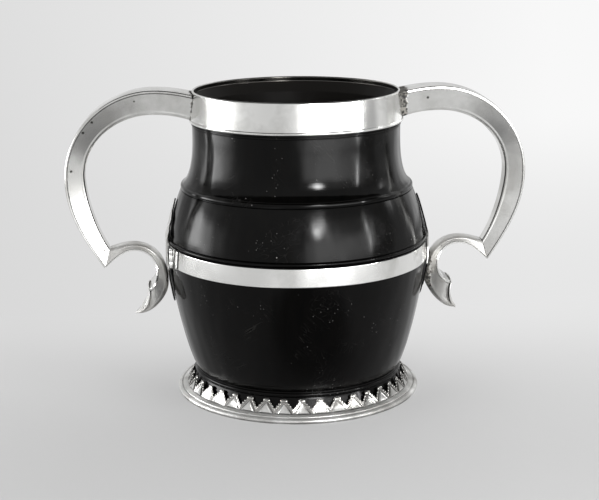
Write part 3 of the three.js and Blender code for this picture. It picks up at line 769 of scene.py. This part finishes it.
def handlePlan(changes):
    h = {**handleLines, **changes}
    crest = (rim["radius"] + h["crestOut"], rim["height"] + h["crestRise"])
    reachUp = bandMiddle + h["reachRise"]
    backRoot = (rim["radius"] - h["rootIn"], rim["height"] - h["rootDrop"])
    backReach = (h["reach"], reachUp)
    backHeel = (h["reach"] - h["heelInset"], bandMiddle - h["heelDrop"])
    heelSeat = (backHeel[0] - h["heelSeatIn"], backHeel[1] + h["heelSeatUp"])
    bellyRoot = (rim["radius"] - h["rootIn"], mountBottom + 0.3)
    bellyCrest = (crest[0] + 0.5, crest[1] - h["crestDepth"])
    bellyReach = (h["reach"] - h["sideDepth"], reachUp + 1)
    contactUp = bandMiddle - h["contactDrop"]
    contact = plateInner(contactUp) + plate["sheet"] + h["contactGap"]
    top = (contact + h["scrollWidth"], bandMiddle + h["scrollRise"])
    side = (contact, contactUp)
    end = (contact + h["scrollEndOut"], bandMiddle - h["scrollEndDrop"])
    faceTop = (top[0] - h["faceTopIn"], top[1] - h["faceTopDrop"])
    faceSide = (contact + h["faceSideOut"], contactUp + h["faceSideUp"])
    faceEnd = (contact + h["faceEndOut"], bandMiddle - h["faceEndDrop"])
    slant = Vector((backHeel[0] - heelSeat[0], backHeel[1] - heelSeat[1])).normalized()
    gap = (slant.y * handleSizes["mitre"], -slant.x * handleSizes["mitre"])
    faceStart = (backHeel[0] + gap[0], backHeel[1] + gap[1])
    crownStart = (heelSeat[0] + gap[0], heelSeat[1] + gap[1])
    points = {
        "back": (backRoot, crest, backReach, backHeel),
        "under": (bellyRoot, bellyCrest, bellyReach, heelSeat),
        "face": (faceStart, faceTop, faceSide, faceEnd),
        "crown": (crownStart, top, side, end),
    }
    return {name: chain(points[name], *linePulls[name]) for name in points}


def stationsOf(firstLine, secondLine, widthAt, seatDown, overhang, constantDepth=None):
    stations = []
    lean = 0.0
    for i, (a, b) in enumerate(zip(firstLine, secondLine)):
        along = i / (len(firstLine) - 1)
        depth = math.dist(a, b)
        down = ((b[0] - a[0]) / depth, (b[1] - a[1]) / depth)
        turned = math.atan2(-down[0], -down[1])
        while turned - lean > math.pi:
            turned -= 2 * math.pi
        while turned - lean < -math.pi:
            turned += 2 * math.pi
        lean = turned
        place = (a[0] + down[0] * seatDown, a[1] + down[1] * seatDown)
        stations.append((place, lean, widthAt(along) + overhang, constantDepth or depth - seatDown))
    return stations


def capHollow(share):
    held = min(max(share, 0), 1)
    return handleSizes["capBow"] * 4 * held * (1 - held)


def hollowTerminal(piece, plan):
    # the open end of the scroll is cut to the hollow of its cap
    faceEnd = Vector(plan["face"][-1])
    down = (Vector(plan["crown"][-1]) - faceEnd).normalized()
    rows = [(Vector(a), Vector(b)) for a, b in zip(plan["face"][-16:], plan["crown"][-16:])]
    for vertex in piece.data.vertices:
        point = Vector((vertex.co.x, vertex.co.z)) / mm
        best = min(range(len(rows)), key=lambda i: rowDistance(point, rows[i]))
        across = rows[best][1] - rows[best][0]
        share = (point - rows[best][0]).dot(across) / across.length_squared
        if rowDistance(point, rows[best]) < 0.05:
            pull = capHollow(share) * smooth((best + 1) / len(rows))
            vertex.co.x += down.y * pull * mm
            vertex.co.z -= down.x * pull * mm


def rowDistance(point, row):
    along = (row[1] - row[0]).normalized()
    offset = point - row[0]
    return abs(offset.x * along.y - offset.y * along.x)


def troughSection(taper, corner, wide, count):
    # flat sides that lean in as they go down, then a rounded corner into the flat inner face
    end = 1 - corner
    side = [(1 - taper * (down - 0.05) / (end - 0.05), down) for down in (0.05, 0.09, end - 0.05, end)]
    middle = 1 - taper - corner * wide
    for i in range(1, count + 1):
        angle = math.pi / 2 * i / count
        side.append((middle + corner * wide * math.cos(angle), end + corner * math.sin(angle)))
    side.append((middle - 0.05, 1))
    # a fine seam is left along each edge, where the strip is soldered on
    side = [(0.965, 0.0), (0.965, 0.03)] + side
    return side + [(-across, down) for across, down in reversed(side)]


def stripSection(crown, thick):
    # a strip with a crowned outer face and eased edges, as shares of half its width and in millimetres
    line = [(-1, thick), (-1, 0.12), (-0.985, 0.0)]
    shares = (-0.96, -0.92, -0.86, -0.78, -0.65, -0.4, 0, 0.4, 0.65, 0.78, 0.86, 0.92, 0.96)
    line += [(share, -crown * (1 - share ** 8)) for share in shares]
    line += [(0.985, 0.0), (1, 0.12), (1, thick)]
    return line


# Terminal cap
capRows = [
    (-0.03, 0.86), (0, 0.9), (0.06, 0.97), (0.14, 1.02), (0.28, 1.03), (0.42, 1.0), (0.58, 0.92),
    (0.74, 0.77), (0.88, 0.54), (1, 0.28), (1.09, 0.06),
]


def rowWidth(rows, share):
    for here, there in zip(rows, rows[1:]):
        if share <= there[0]:
            part = (share - here[0]) / (there[0] - here[0])
            return here[1] + part * (there[1] - here[1])
    return rows[-1][1]


def capPlacer(plan):
    faceEnd = Vector(plan["face"][-1])
    down = Vector(plan["crown"][-1]) - faceEnd
    length = down.length
    down = down / length
    out = Vector((-down.y, down.x))

    def place(column, row):
        share = capRows[0][0] + (capRows[-1][0] - capRows[0][0]) * row
        width = rowWidth(capRows, share)
        held = min(max(share, 0), 1)
        lift = handleSizes["capSeat"] - capHollow(held) + handleSizes["capRound"] * (1 - column ** 2)
        point = faceEnd + down * (share * length) + out * lift
        return Vector((point.x, column * width * handleSizes["terminal"], point.y))

    return place


# Side plate
plateSteps = [
    (0, 0.8), (0.2, 0.93), (0.34, 1), (0.44, 0.95), (0.5, 0.76), (0.56, 0.76), (0.66, 0.8), (0.74, 0.66),
    (0.78, 0.44), (0.84, 0.42), (0.9, 0.36), (0.96, 0.2), (1, 0.04),
]


def platePlace(column, row):
    z = bandMiddle - plate["down"] + (plate["down"] + plate["up"]) * row
    reach = plate["up"] if z > bandMiddle else plate["down"]
    half = rowWidth(plateSteps, abs(z - bandMiddle) / reach) * plate["half"]
    inner = plateInner(z)
    angle = column * half / inner
    return Vector((inner * math.cos(angle), inner * math.sin(angle), z))


def edgeShadowMarks(material, place):
    # painted shadow of the gap behind the plate, together with tarnish: the cut edges and the inner side are
    # black, but not where the plate lies over the band
    edges = facingMask(material, place, 0.75, 0.5)
    up = polar(material, place)[1]
    clear = plate["brightHalf"]
    beyond = nearMask(material, up, bandMiddle * mm, clear * mm, (clear + 1.5) * mm)
    both = addNode(material, "Math", {"operation": "MULTIPLY", 0: edges, 1: beyond})
    return [(both, plate["edgeShadowTone"])]


plateSilver = makeSilver("plate", edgeShadowMarks)
sidePlate = sheetPiece("right_side_plate_silver", 12, 96, platePlace, plate["sheet"], plate["ease"])
finishPiece(sidePlate, plateSilver, "silver", "cup", "right_side_plate")
otherPlate = copyRound(sidePlate, "left_side_plate_silver", 180)
finishPiece(otherPlate, plateSilver, "silver", "cup", "left_side_plate")
print("side plates made")


# where the handles' pits show, as x and z in millimetres, and how wide each is
handlePits = [
    (-123.9, 158.6, 1.0), (-131.8, 135.9, 1.0), (-114.6, 87.6, 0.9), (-118.6, 164.6, 1.0),
    (-94.0, 176.3, 0.7), (76.7, 175.7, 1.0),
]


def pitMarks(material, place):
    flat = addNode(material, "VectorMath", {"operation": "MULTIPLY", 0: place, 1: (1, 0, 1)})
    spots = [pointMask(material, flat, (x, 0, z), wide, 0.45) for x, z, wide in handlePits]
    return [(largest(material, spots), sterling["pit"])]


handleSilver = makeSilver("handle", pitMarks, solder["root"])
scrollSilver = makeSilver("scroll", joint=solder["contact"])
edgeSilver = makeSilver("edge")
capSilver = makeSilver("cap")


def makeHandle(side, turned, changes):
    plan = handlePlan(changes)
    prefix = side + "_handle_"
    strip = handleSizes["strip"]
    upper = (plan["back"], plan["under"], upperWidth)
    lower = (plan["face"], plan["crown"], lowerWidth)
    trough = (strip, 0)
    flat = (0, handleSizes["overhang"], 1)
    sweeps = {
        "upper_trough": (handleSilver, troughSection(0.3, 0.18, 1.2, 9), stationsOf(*upper, *trough)),
        "upper_strip": (handleSilver, stripSection(handleSizes["crown"], strip), stationsOf(*upper, *flat)),
        "lower_trough": (scrollSilver, troughSection(0.16, 0.42, 1.1, 10), stationsOf(*lower, *trough)),
        "lower_strip": (edgeSilver, stripSection(0.1, strip), stationsOf(*lower, *flat)),
    }
    pieces = {}
    for node, (material, section, stations) in sweeps.items():
        piece = sweepPiece(prefix + node + "_silver", section, stations)
        if node.startswith("lower"):
            hollowTerminal(piece, plan)
        pieces[node] = (piece, material)
    cap = sheetPiece(
        prefix + "terminal_cap_silver", 14, 30, capPlacer(plan), handleSizes["cap"], handleSizes["capEase"],
    )
    pieces["terminal_cap"] = (cap, capSilver)
    for node, (piece, material) in pieces.items():
        if turned:
            startEdit(piece)
            turnMesh(math.radians(turned))
            endEdit(piece, 30)
        finishPiece(piece, material, "silver", "cup", prefix + node)


for side, choice in handleSides.items():
    makeHandle(side, choice["turned"], choice["changes"])
print("handles swept")


# Hinge
pinCircle = band["radius"] + seat + 0.1 + hinge["knuckle"]
hingeLow = band["bottom"] + 0.2
hingeHigh = bandTop - 0.1
knuckleLow = bandMiddle - hinge["middle"] / 2 + 0.4
knuckleHigh = knuckleLow + hinge["middle"]


def knuckle(low, high, slit):
    bpy.ops.mesh.primitive_cylinder_add(
        vertices=28, radius=hinge["knuckle"] * mm, depth=(high - low) * mm,
        location=(pinCircle * mm, 0, (low + high) / 2 * mm),
    )
    piece = bpy.context.object
    bpy.ops.object.transform_apply(location=True, rotation=True, scale=True)
    if slit:
        # the fine slit where the leaf's sheet comes round the pin and meets itself
        for vertex in piece.data.vertices:
            offset = vertex.co - Vector((pinCircle * mm, 0, vertex.co.z))
            away = abs(math.degrees(math.atan2(offset.y, offset.x)) - hinge["slit"])
            if away < hinge["slitHalf"]:
                vertex.co -= offset * hinge["slitDepth"]
    roundEdges(piece, hinge["ease"])
    startEdit(piece)
    bpy.ops.mesh.select_all(action="DESELECT")
    mesh = bmesh.from_edit_mesh(piece.data)
    for face in mesh.faces:
        face.select = abs(face.normal.z) > 0.9
    bmesh.update_edit_mesh(piece.data)
    bpy.ops.mesh.inset(thickness=(hinge["knuckle"] - hinge["pin"] - hinge["pinGap"] - hinge["ease"]) * mm)
    bpy.ops.mesh.bridge_edge_loops()
    bpy.ops.object.mode_set(mode="OBJECT")
    return piece


def leafLap(side, start, end, thick):
    low = min(side * start, side * end) / band["radius"]
    high = max(side * start, side * end) / band["radius"]

    def place(column, row):
        z = hingeLow + (hingeHigh - hingeLow) * row
        angle = low + (high - low) * (column + 1) / 2
        inner = bandOuter(z) + hinge["lapGap"]
        return Vector((inner * math.cos(angle), inner * math.sin(angle), z))

    return sheetPiece("leafLap", 6, 8, place, thick, min(0.12, thick * 0.3))


def hingeLeaf(name, side, knuckles, node):
    lap = leafLap(side, hinge["lapFrom"], hinge["lapTo"], hinge["leaf"])
    webStart = hinge["knuckle"] - hinge["webIn"]
    web = leafLap(side, webStart, hinge["lapTo"] - hinge["webShort"], hinge["web"])
    whole = joinParts(name, [lap, web] + [knuckle(low, high, side > 0) for low, high in knuckles])
    startEdit(whole)
    turnMesh(math.radians(hinge["angle"]))
    bpy.ops.mesh.normals_make_consistent(inside=False)
    endEdit(whole)
    finishPiece(whole, hingeSilver, "silver", "cup", node)


hingeSilver = makeSilver("hinge", shadowLineMarks, matt=True)
outerKnuckles = [(hingeLow, knuckleLow - hinge["apart"]), (knuckleHigh + hinge["apart"], hingeHigh)]
hingeLeaf("hinge_leaf_front_silver", 1, outerKnuckles, "hinge_leaf_front")
hingeLeaf("hinge_leaf_back_silver", -1, [(knuckleLow, knuckleHigh)], "hinge_leaf_back")

headFoot = hingeHigh + seat
pinOutline = shifted(0, hingeLow, [(0, 0), (hinge["pin"] * 0.7, 0), (hinge["pin"], 0.3)])
pinOutline += shifted(0, headFoot, [
    (hinge["pin"], 0), (hinge["head"] - 0.1, 0), (hinge["head"], 0.12), (hinge["head"], 0.35),
    (hinge["head"] * 0.85, 0.62), (hinge["head"] * 0.5, 0.83), (0, hinge["headHeight"]),
])
hingePin = turnPiece("hinge_pin_silver", pinOutline, steps=28)
startEdit(hingePin)
bpy.ops.transform.translate(value=(pinCircle * mm, 0, 0))
turnMesh(math.radians(hinge["angle"]))
endEdit(hingePin)
finishPiece(hingePin, hingeSilver, "silver", "pin", "hinge_pin")
print("hinge made")


# Border of leaves
leaf = {
    "count": 39, "phase": -91.95, "foot": (66.9, 3.8), "tip": (63.0, 11.3), "sheet": 0.42,
    "outline": [
        (0.0, 8.5), (1.0, 8.42), (1.75, 8.05), (2.1, 7.5), (1.95, 6.9), (1.5, 6.45), (2.2, 6.35), (2.95, 6.0),
        (3.2, 5.5), (3.0, 5.0), (3.7, 4.85), (4.25, 4.4), (4.3, 3.95), (4.15, 3.65), (4.75, 3.5), (5.15, 3.1),
        (5.42, 2.75), (5.42, 0.0),
    ],
    "panel": [(0.0, 5.3), (3.45, 0.15)],
    "ribs": [(0.35, 6.3), (0.95, 6.3), (4.85, 0.55), (4.1, 0.3)],
    "lobes": [(2.5, 5.6, 0.62), (3.65, 4.3, 0.6), (4.75, 3.0, 0.5)],
    "bud": (0, 7.45, 1.85, 0.95, 0.4),
    # how far in and up each form is rounded, how much the raised ones stand up, and the lobes' shape
    "ease": {"outline": (0.18, 0.06), "panel": (0.35, 0.22), "ribs": (0.16, 0.16)}, "raised": 0.1,
    "lobeMiddle": 0.45, "lobeRise": 0.3, "lobeWiden": 1.15,
    # the engraved triangle: its radius from the axis, half its width and its height, and the two tones
    "line": {"radius": 65.2, "half": 4.5, "tall": 5.3}, "lobeTone": "#A09E9B", "grooveTone": "#4A4845",
}


def flatForm(outline, rise, inset, lift, mirrored=True):
    # half an outline mirrored into a flat face, drawn up to its thickness and rounded by an inset
    ring = outline + [(-x, y) for x, y in reversed(outline) if x > 0 and mirrored]
    circle = bpy.ops.mesh.primitive_circle_add
    form = addShape("form", circle, vertices=len(ring), radius=1, fill_type="NGON")
    for vertex, point in zip(form.data.vertices, ring):
        vertex.co = Vector((point[0], point[1], 0)) * mm
    startEdit(form)
    bpy.ops.mesh.extrude_region_move(TRANSFORM_OT_translate={"value": (0, 0, rise * mm)})
    bpy.ops.mesh.inset(thickness=inset * mm, depth=lift * mm)
    bpy.ops.mesh.select_all(action="SELECT")
    bpy.ops.mesh.normals_make_consistent(inside=False)
    bpy.ops.object.mode_set(mode="OBJECT")
    return form


def lobe(x, y, width, height, rise):
    bpy.ops.mesh.primitive_uv_sphere_add(
        segments=12, ring_count=8, radius=mm, location=(x * mm, y * mm, leaf["lobeMiddle"] * mm),
    )
    form = bpy.context.object
    bpy.ops.transform.resize(value=(width, height, rise))
    bpy.ops.object.transform_apply(location=True, rotation=True, scale=True)
    return form


def makeLeaves():
    raised = leaf["sheet"] + leaf["raised"]
    parts = [
        flatForm(leaf["outline"], leaf["sheet"], *leaf["ease"]["outline"]),
        flatForm(leaf["panel"], raised, *leaf["ease"]["panel"]),
        lobe(*leaf["bud"]),
    ]
    for side in (-1, 1):
        rib = [(side * x, y) for x, y in leaf["ribs"]]
        parts.append(flatForm(rib, raised, *leaf["ease"]["ribs"], mirrored=False))
        for x, y, size in leaf["lobes"]:
            parts.append(lobe(side * x, y, size * leaf["lobeWiden"], size, leaf["lobeRise"]))
    border = joinParts("leaf_border_silver", parts)
    slope = math.atan2(leaf["foot"][0] - leaf["tip"][0], leaf["tip"][1] - leaf["foot"][1])
    startEdit(border)
    turnMesh(math.pi / 2 - slope, "X")
    bpy.ops.transform.translate(value=(0, -leaf["foot"][0] * mm, leaf["foot"][1] * mm))
    turnMesh(math.radians(leaf["phase"] + 90))
    bpy.ops.mesh.spin(
        steps=leaf["count"] - 1, dupli=True, angle=2 * math.pi * (leaf["count"] - 1) / leaf["count"],
        center=(0, 0, 0), axis=axisUp,
    )
    endEdit(border, 40)
    return border


def leafMarks(material, place):
    # each leaf's plain triangle is edged by a dark engraved line, and its lobes are duller than it
    line = leaf["line"]
    angle, height = polar(material, place)
    steps = addNode(material, "Math", {
        "operation": "MULTIPLY_ADD", 0: angle, 1: leaf["count"] / (2 * math.pi),
        2: 0.5 - leaf["phase"] / 360 * leaf["count"],
    })
    part = addNode(material, "Math", {"operation": "FRACT", 0: steps})
    pitch = 2 * math.pi * line["radius"] / leaf["count"]
    off = addNode(material, "Math", {"operation": "SUBTRACT", 0: part, 1: 0.5})
    away = addNode(material, "Math", {"operation": "ABSOLUTE", 0: off})
    across = addNode(material, "Math", {"operation": "MULTIPLY", 0: away, 1: pitch / line["half"]})
    up = addNode(material, "Math", {
        "operation": "MULTIPLY_ADD", 0: height, 1: 1 / (line["tall"] * mm),
        2: -leaf["foot"][1] / line["tall"],
    })
    edge = addNode(material, "Math", {"operation": "ADD", 0: across, 1: up})
    outer = addNode(material, "MapRange", {**span(1, 1.2, 0, 0.8), "Value": edge})
    groove = nearMask(material, edge, 1.04, 0.08, 0.02, 0.8)
    return [(outer, leaf["lobeTone"]), (groove, leaf["grooveTone"])]


leafBorder = makeLeaves()
finishPiece(leafBorder, makeSilver("leaves", leafMarks), "silver", "cup", "leaf_border")
print("leaf border made")


# Floor, lamps and what the gloss reflects
studio = {
    "nearLeft": "#CBCBCB",
    "nearRight": "#D3D3D3",
    "midLeft": "#D9D9D9",
    "midRight": "#E6E6E6",
    "farLeft": "#D8D8D8",
    "farRight": "#F8F8F8",
    "sky": "#F2F2F2",
    "skyLight": 0.78,
    "ceiling": "#383838",
    "ringRadius": 620,
    "ringTop": 640,
    "cardRadius": 600,
    "cameraTurn": 94,
    "patchLift": 0.5,
}
# what the gloss sees, in degrees to the right of the camera's line and how bright it is there:
# along the table's far edge, in the room above it, and high up
tableLevels = [
    (-180, 0.65), (-139, 0.75), (-120, 0.52), (-99, 1.0), (-80, 1.1), (-61, 0.8), (-41, 0.64), (-22, 0.64),
    (-4, 0.74), (10, 1.05), (37, 1.05), (57, 1.0), (67, 0.66), (77, 0.64), (96, 0.7), (115, 0.46),
    (135, 0.44), (154, 0.3), (180, 0.55),
]
roomLevels = [
    (-180, 0.75), (-150, 0.85), (-138, 0.66), (-122, 0.5), (-117, 0.62), (-110, 6), (-98, 13), (-84, 10),
    (-73, 2.4), (-63, 1.0), (-52, 0.72), (-22, 0.64), (-8, 0.66), (0, 0.74), (5, 1.3), (9, 4), (18, 6.4),
    (38, 6.4), (54, 4.4), (61, 3.2), (68, 0.45), (88, 0.42), (96, 0.75), (110, 0.6), (120, 0.65),
    (132, 1.2), (142, 1.4), (160, 0.6), (180, 0.7),
]
highLevels = [
    (-180, 0.7), (-115, 0.7), (-105, 3), (-85, 2), (-70, 0.8), (-60, 0.7), (0, 0.7), (15, 1.3), (40, 1.8),
    (56, 1.2), (64, 0.5), (90, 0.5), (98, 2), (108, 1.0), (120, 0.8), (180, 0.7),
]
# heights in millimetres between which each gives way to the next, and the plain level above them all
levelHeights = [(34, 58), (185, 270), (290, 380)]
levelAbove = 0.76
# soft patches that only the gloss sees. A standing one has its angle and height in the ring, and half its
# width and height, and one that lies on the table has its middle, and half its width and length.
cards = {
    "lampHead": {"angle": 20, "height": 300, "half": (100, 70), "level": 85, "core": 0.1},
    "windowStrip": {"angle": 65.5, "height": 190, "half": (24, 150), "level": 46, "core": 0.35},
    "sideStrip": {"angle": 96, "height": 310, "half": (26, 100), "level": 9, "core": 0.2},
    "brightTableLeft": {"middle": (-178, -385), "half": (70, 175), "level": 1.35, "core": 0.55},
    "dimTableMiddle": {"middle": (15, -180), "half": (105, 140), "level": 0.2, "core": 0.55},
}
lamps = {
    "keyLamp": {"place": (0.9, -0.9, 1.3), "size": 0.9, "power": 9},
    "fillLamp": {"place": (-1.1, -0.5, 1.0), "size": 1.0, "power": 4},
}


def softRise(material, value, low, high):
    settings = {"interpolation_type": "SMOOTHSTEP", **span(low, high), "Value": value}
    return addNode(material, "MapRange", settings)


def makeFloor():
    floor = addShape("floor", bpy.ops.mesh.primitive_plane_add, size=24)
    material, place = newMaterial("palePaper")
    parts = addNode(material, "SeparateXYZ", {"Vector": place})
    across, deep = (parts.outputs[axis] for axis in "XY")
    # right and left are told apart by the angle from the viewer's side
    depth = addNode(material, "Math", {"operation": "ADD", 0: deep, 1: 0.6})
    held = addNode(material, "Math", {"operation": "MAXIMUM", 0: depth, 1: 0.3})
    angle = addNode(material, "Math", {"operation": "DIVIDE", 0: across, 1: held})
    side = addNode(material, "MapRange", {**span(-0.25, 0.25), "Value": angle})
    # painted light: the paper is made lighter towards the right and towards the back, where the studio light
    # falls more strongly
    near, middle, far = (
        paint(material, srgb(studio[row + "Left"]), [(side, studio[row + "Right"])])
        for row in ("near", "mid", "far")
    )
    behind = softRise(material, deep, -0.16, 0.16)
    back = paint(material, middle, [(softRise(material, deep, 0.1, 1.1), far)])
    tone = paint(material, near, [(behind, back)])
    paper = addNode(
        material, "BsdfPrincipled", {"Roughness": 0.9, "Specular IOR Level": 0.1, "Base Color": tone},
    )
    glow = addNode(material, "Emission", {"Strength": 1, "Color": tone})
    rays = addNode(material, "LightPath", {})
    kinds = ("Camera", "Glossy", "Transmission")
    seen = largest(material, [rays.outputs[f"Is {kind} Ray"] for kind in kinds])
    share = addNode(material, "Math", {"operation": "MULTIPLY", 0: behind, 1: seen})
    mixed = addNode(material, "MixShader", {0: share, 1: paper, 2: glow})
    addNode(material, "OutputMaterial", {"Surface": mixed})
    floor.data.materials.append(material)


def makeSky():
    world = bpy.data.worlds.new("paleRoom")
    bpy.context.scene.world = world
    world.use_nodes = True
    world.node_tree.nodes.clear()
    light, shown = (
        addNode(world, "Background", {"Color": srgb(studio["sky"]), "Strength": strength})
        for strength in (studio["skyLight"], 1)
    )
    rays = addNode(world, "LightPath", {})
    seen = largest(world, [rays.outputs[f"Is {kind} Ray"] for kind in ("Camera", "Transmission")])
    mixed = addNode(world, "MixShader", {0: seen, 1: light, 2: shown})
    addNode(world, "OutputWorld", {"Surface": mixed})


def finishCard(card, material, surface):
    # only the gloss of the silver and the wood sees a card
    addNode(material, "OutputMaterial", {"Surface": surface})
    card.data.materials.append(material)
    for kind in ("camera", "diffuse", "transmission", "volume_scatter", "shadow"):
        setattr(card, "visible_" + kind, False)


def makeRing():
    radius = studio["ringRadius"]
    ring = turnPiece("studioCards", [(radius, 2), (radius, studio["ringTop"])], steps=96)
    startEdit(ring)
    bpy.ops.mesh.flip_normals()
    endEdit(ring)
    material, place = newMaterial("studioCards")
    turn = (0, 0, math.radians(studio["cameraTurn"]))
    ahead = addNode(material, "Mapping", {"Rotation": turn, "Vector": place})
    angle, height = polar(material, ahead)
    share = addNode(material, "MapRange", {**span(-math.pi, math.pi), "Value": angle})
    brightest = max(level for _, level in roomLevels)
    tones = []
    for levels in (tableLevels, roomLevels, highLevels):
        stops = [((turned + 180) / 360, (*[level / brightest] * 3, 1)) for turned, level in levels]
        tones.append(setStops(addNode(material, "ValToRGB", {"Fac": share}), stops))
    tones.append((*[levelAbove / brightest] * 3, 1))
    rises = [softRise(material, height, low * mm, high * mm) for low, high in levelHeights]
    tone = paint(material, tones[0], zip(rises, tones[1:]))
    finishCard(ring, material, addNode(material, "Emission", {"Strength": brightest, "Color": tone}))


def makeCeiling():
    ceiling = addShape(
        "studioCeiling", bpy.ops.mesh.primitive_circle_add, vertices=64, radius=studio["ringRadius"] * mm,
        fill_type="NGON",
    )
    startEdit(ceiling)
    bpy.ops.transform.translate(value=(0, 0, studio["ringTop"] * mm))
    endEdit(ceiling)
    material = newMaterial("darkCeiling")[0]
    glow = addNode(material, "Emission", {"Color": srgb(studio["ceiling"]), "Strength": 1})
    finishCard(ceiling, material, glow)


def makeCard(name, choice):
    wide, long = (half * mm for half in choice["half"])
    card = addShape(name, bpy.ops.mesh.primitive_plane_add, size=2)
    startEdit(card)
    bpy.ops.transform.resize(value=(wide, long, 1), center_override=(0, 0, 0))
    if "angle" in choice:
        angle = math.radians(choice["angle"] - studio["cameraTurn"])
        turned = angle + math.pi / 2
        reach = studio["cardRadius"]
        middle = Vector((reach * math.cos(angle), reach * math.sin(angle), choice["height"])) * mm
        size = (wide, 1, long)
        turnMesh(math.pi / 2, "X")
        turnMesh(turned)
    else:
        turned = 0
        middle = Vector((*choice["middle"], studio["patchLift"])) * mm
        size = (wide, long, 1)
    bpy.ops.transform.translate(value=middle)
    bpy.ops.object.mode_set(mode="OBJECT")
    material, place = newMaterial(name)
    own = addNode(material, "Mapping", {
        "vector_type": "TEXTURE", "Location": middle, "Rotation": (0, 0, turned), "Scale": size,
        "Vector": place,
    })
    away = addNode(material, "VectorMath", {"operation": "LENGTH", 0: own})
    fade = softRise(material, away, 1, choice["core"])
    glow = addNode(material, "Emission", {"Strength": choice["level"]})
    clear = addNode(material, "BsdfTransparent", {})
    finishCard(card, material, addNode(material, "MixShader", {0: fade, 1: clear, 2: glow}))


def makeLamp(name, choice):
    data = bpy.data.lights.new(name, "AREA")
    data.shape = "DISK"
    data.size = choice["size"]
    data.energy = choice["power"]
    light = bpy.data.objects.new(name, data)
    bpy.context.scene.collection.objects.link(light)
    light.location = choice["place"]
    aim = Vector((0, 0, 0.08)) - Vector(choice["place"])
    light.rotation_euler = aim.to_track_quat("-Z", "Y").to_euler()
    light.visible_glossy = False


makeFloor()
makeSky()
makeRing()
makeCeiling()
for name, choice in cards.items():
    makeCard(name, choice)
for name, choice in lamps.items():
    makeLamp(name, choice)
bpy.context.scene.view_settings.view_transform = "Standard"
print("stage set")
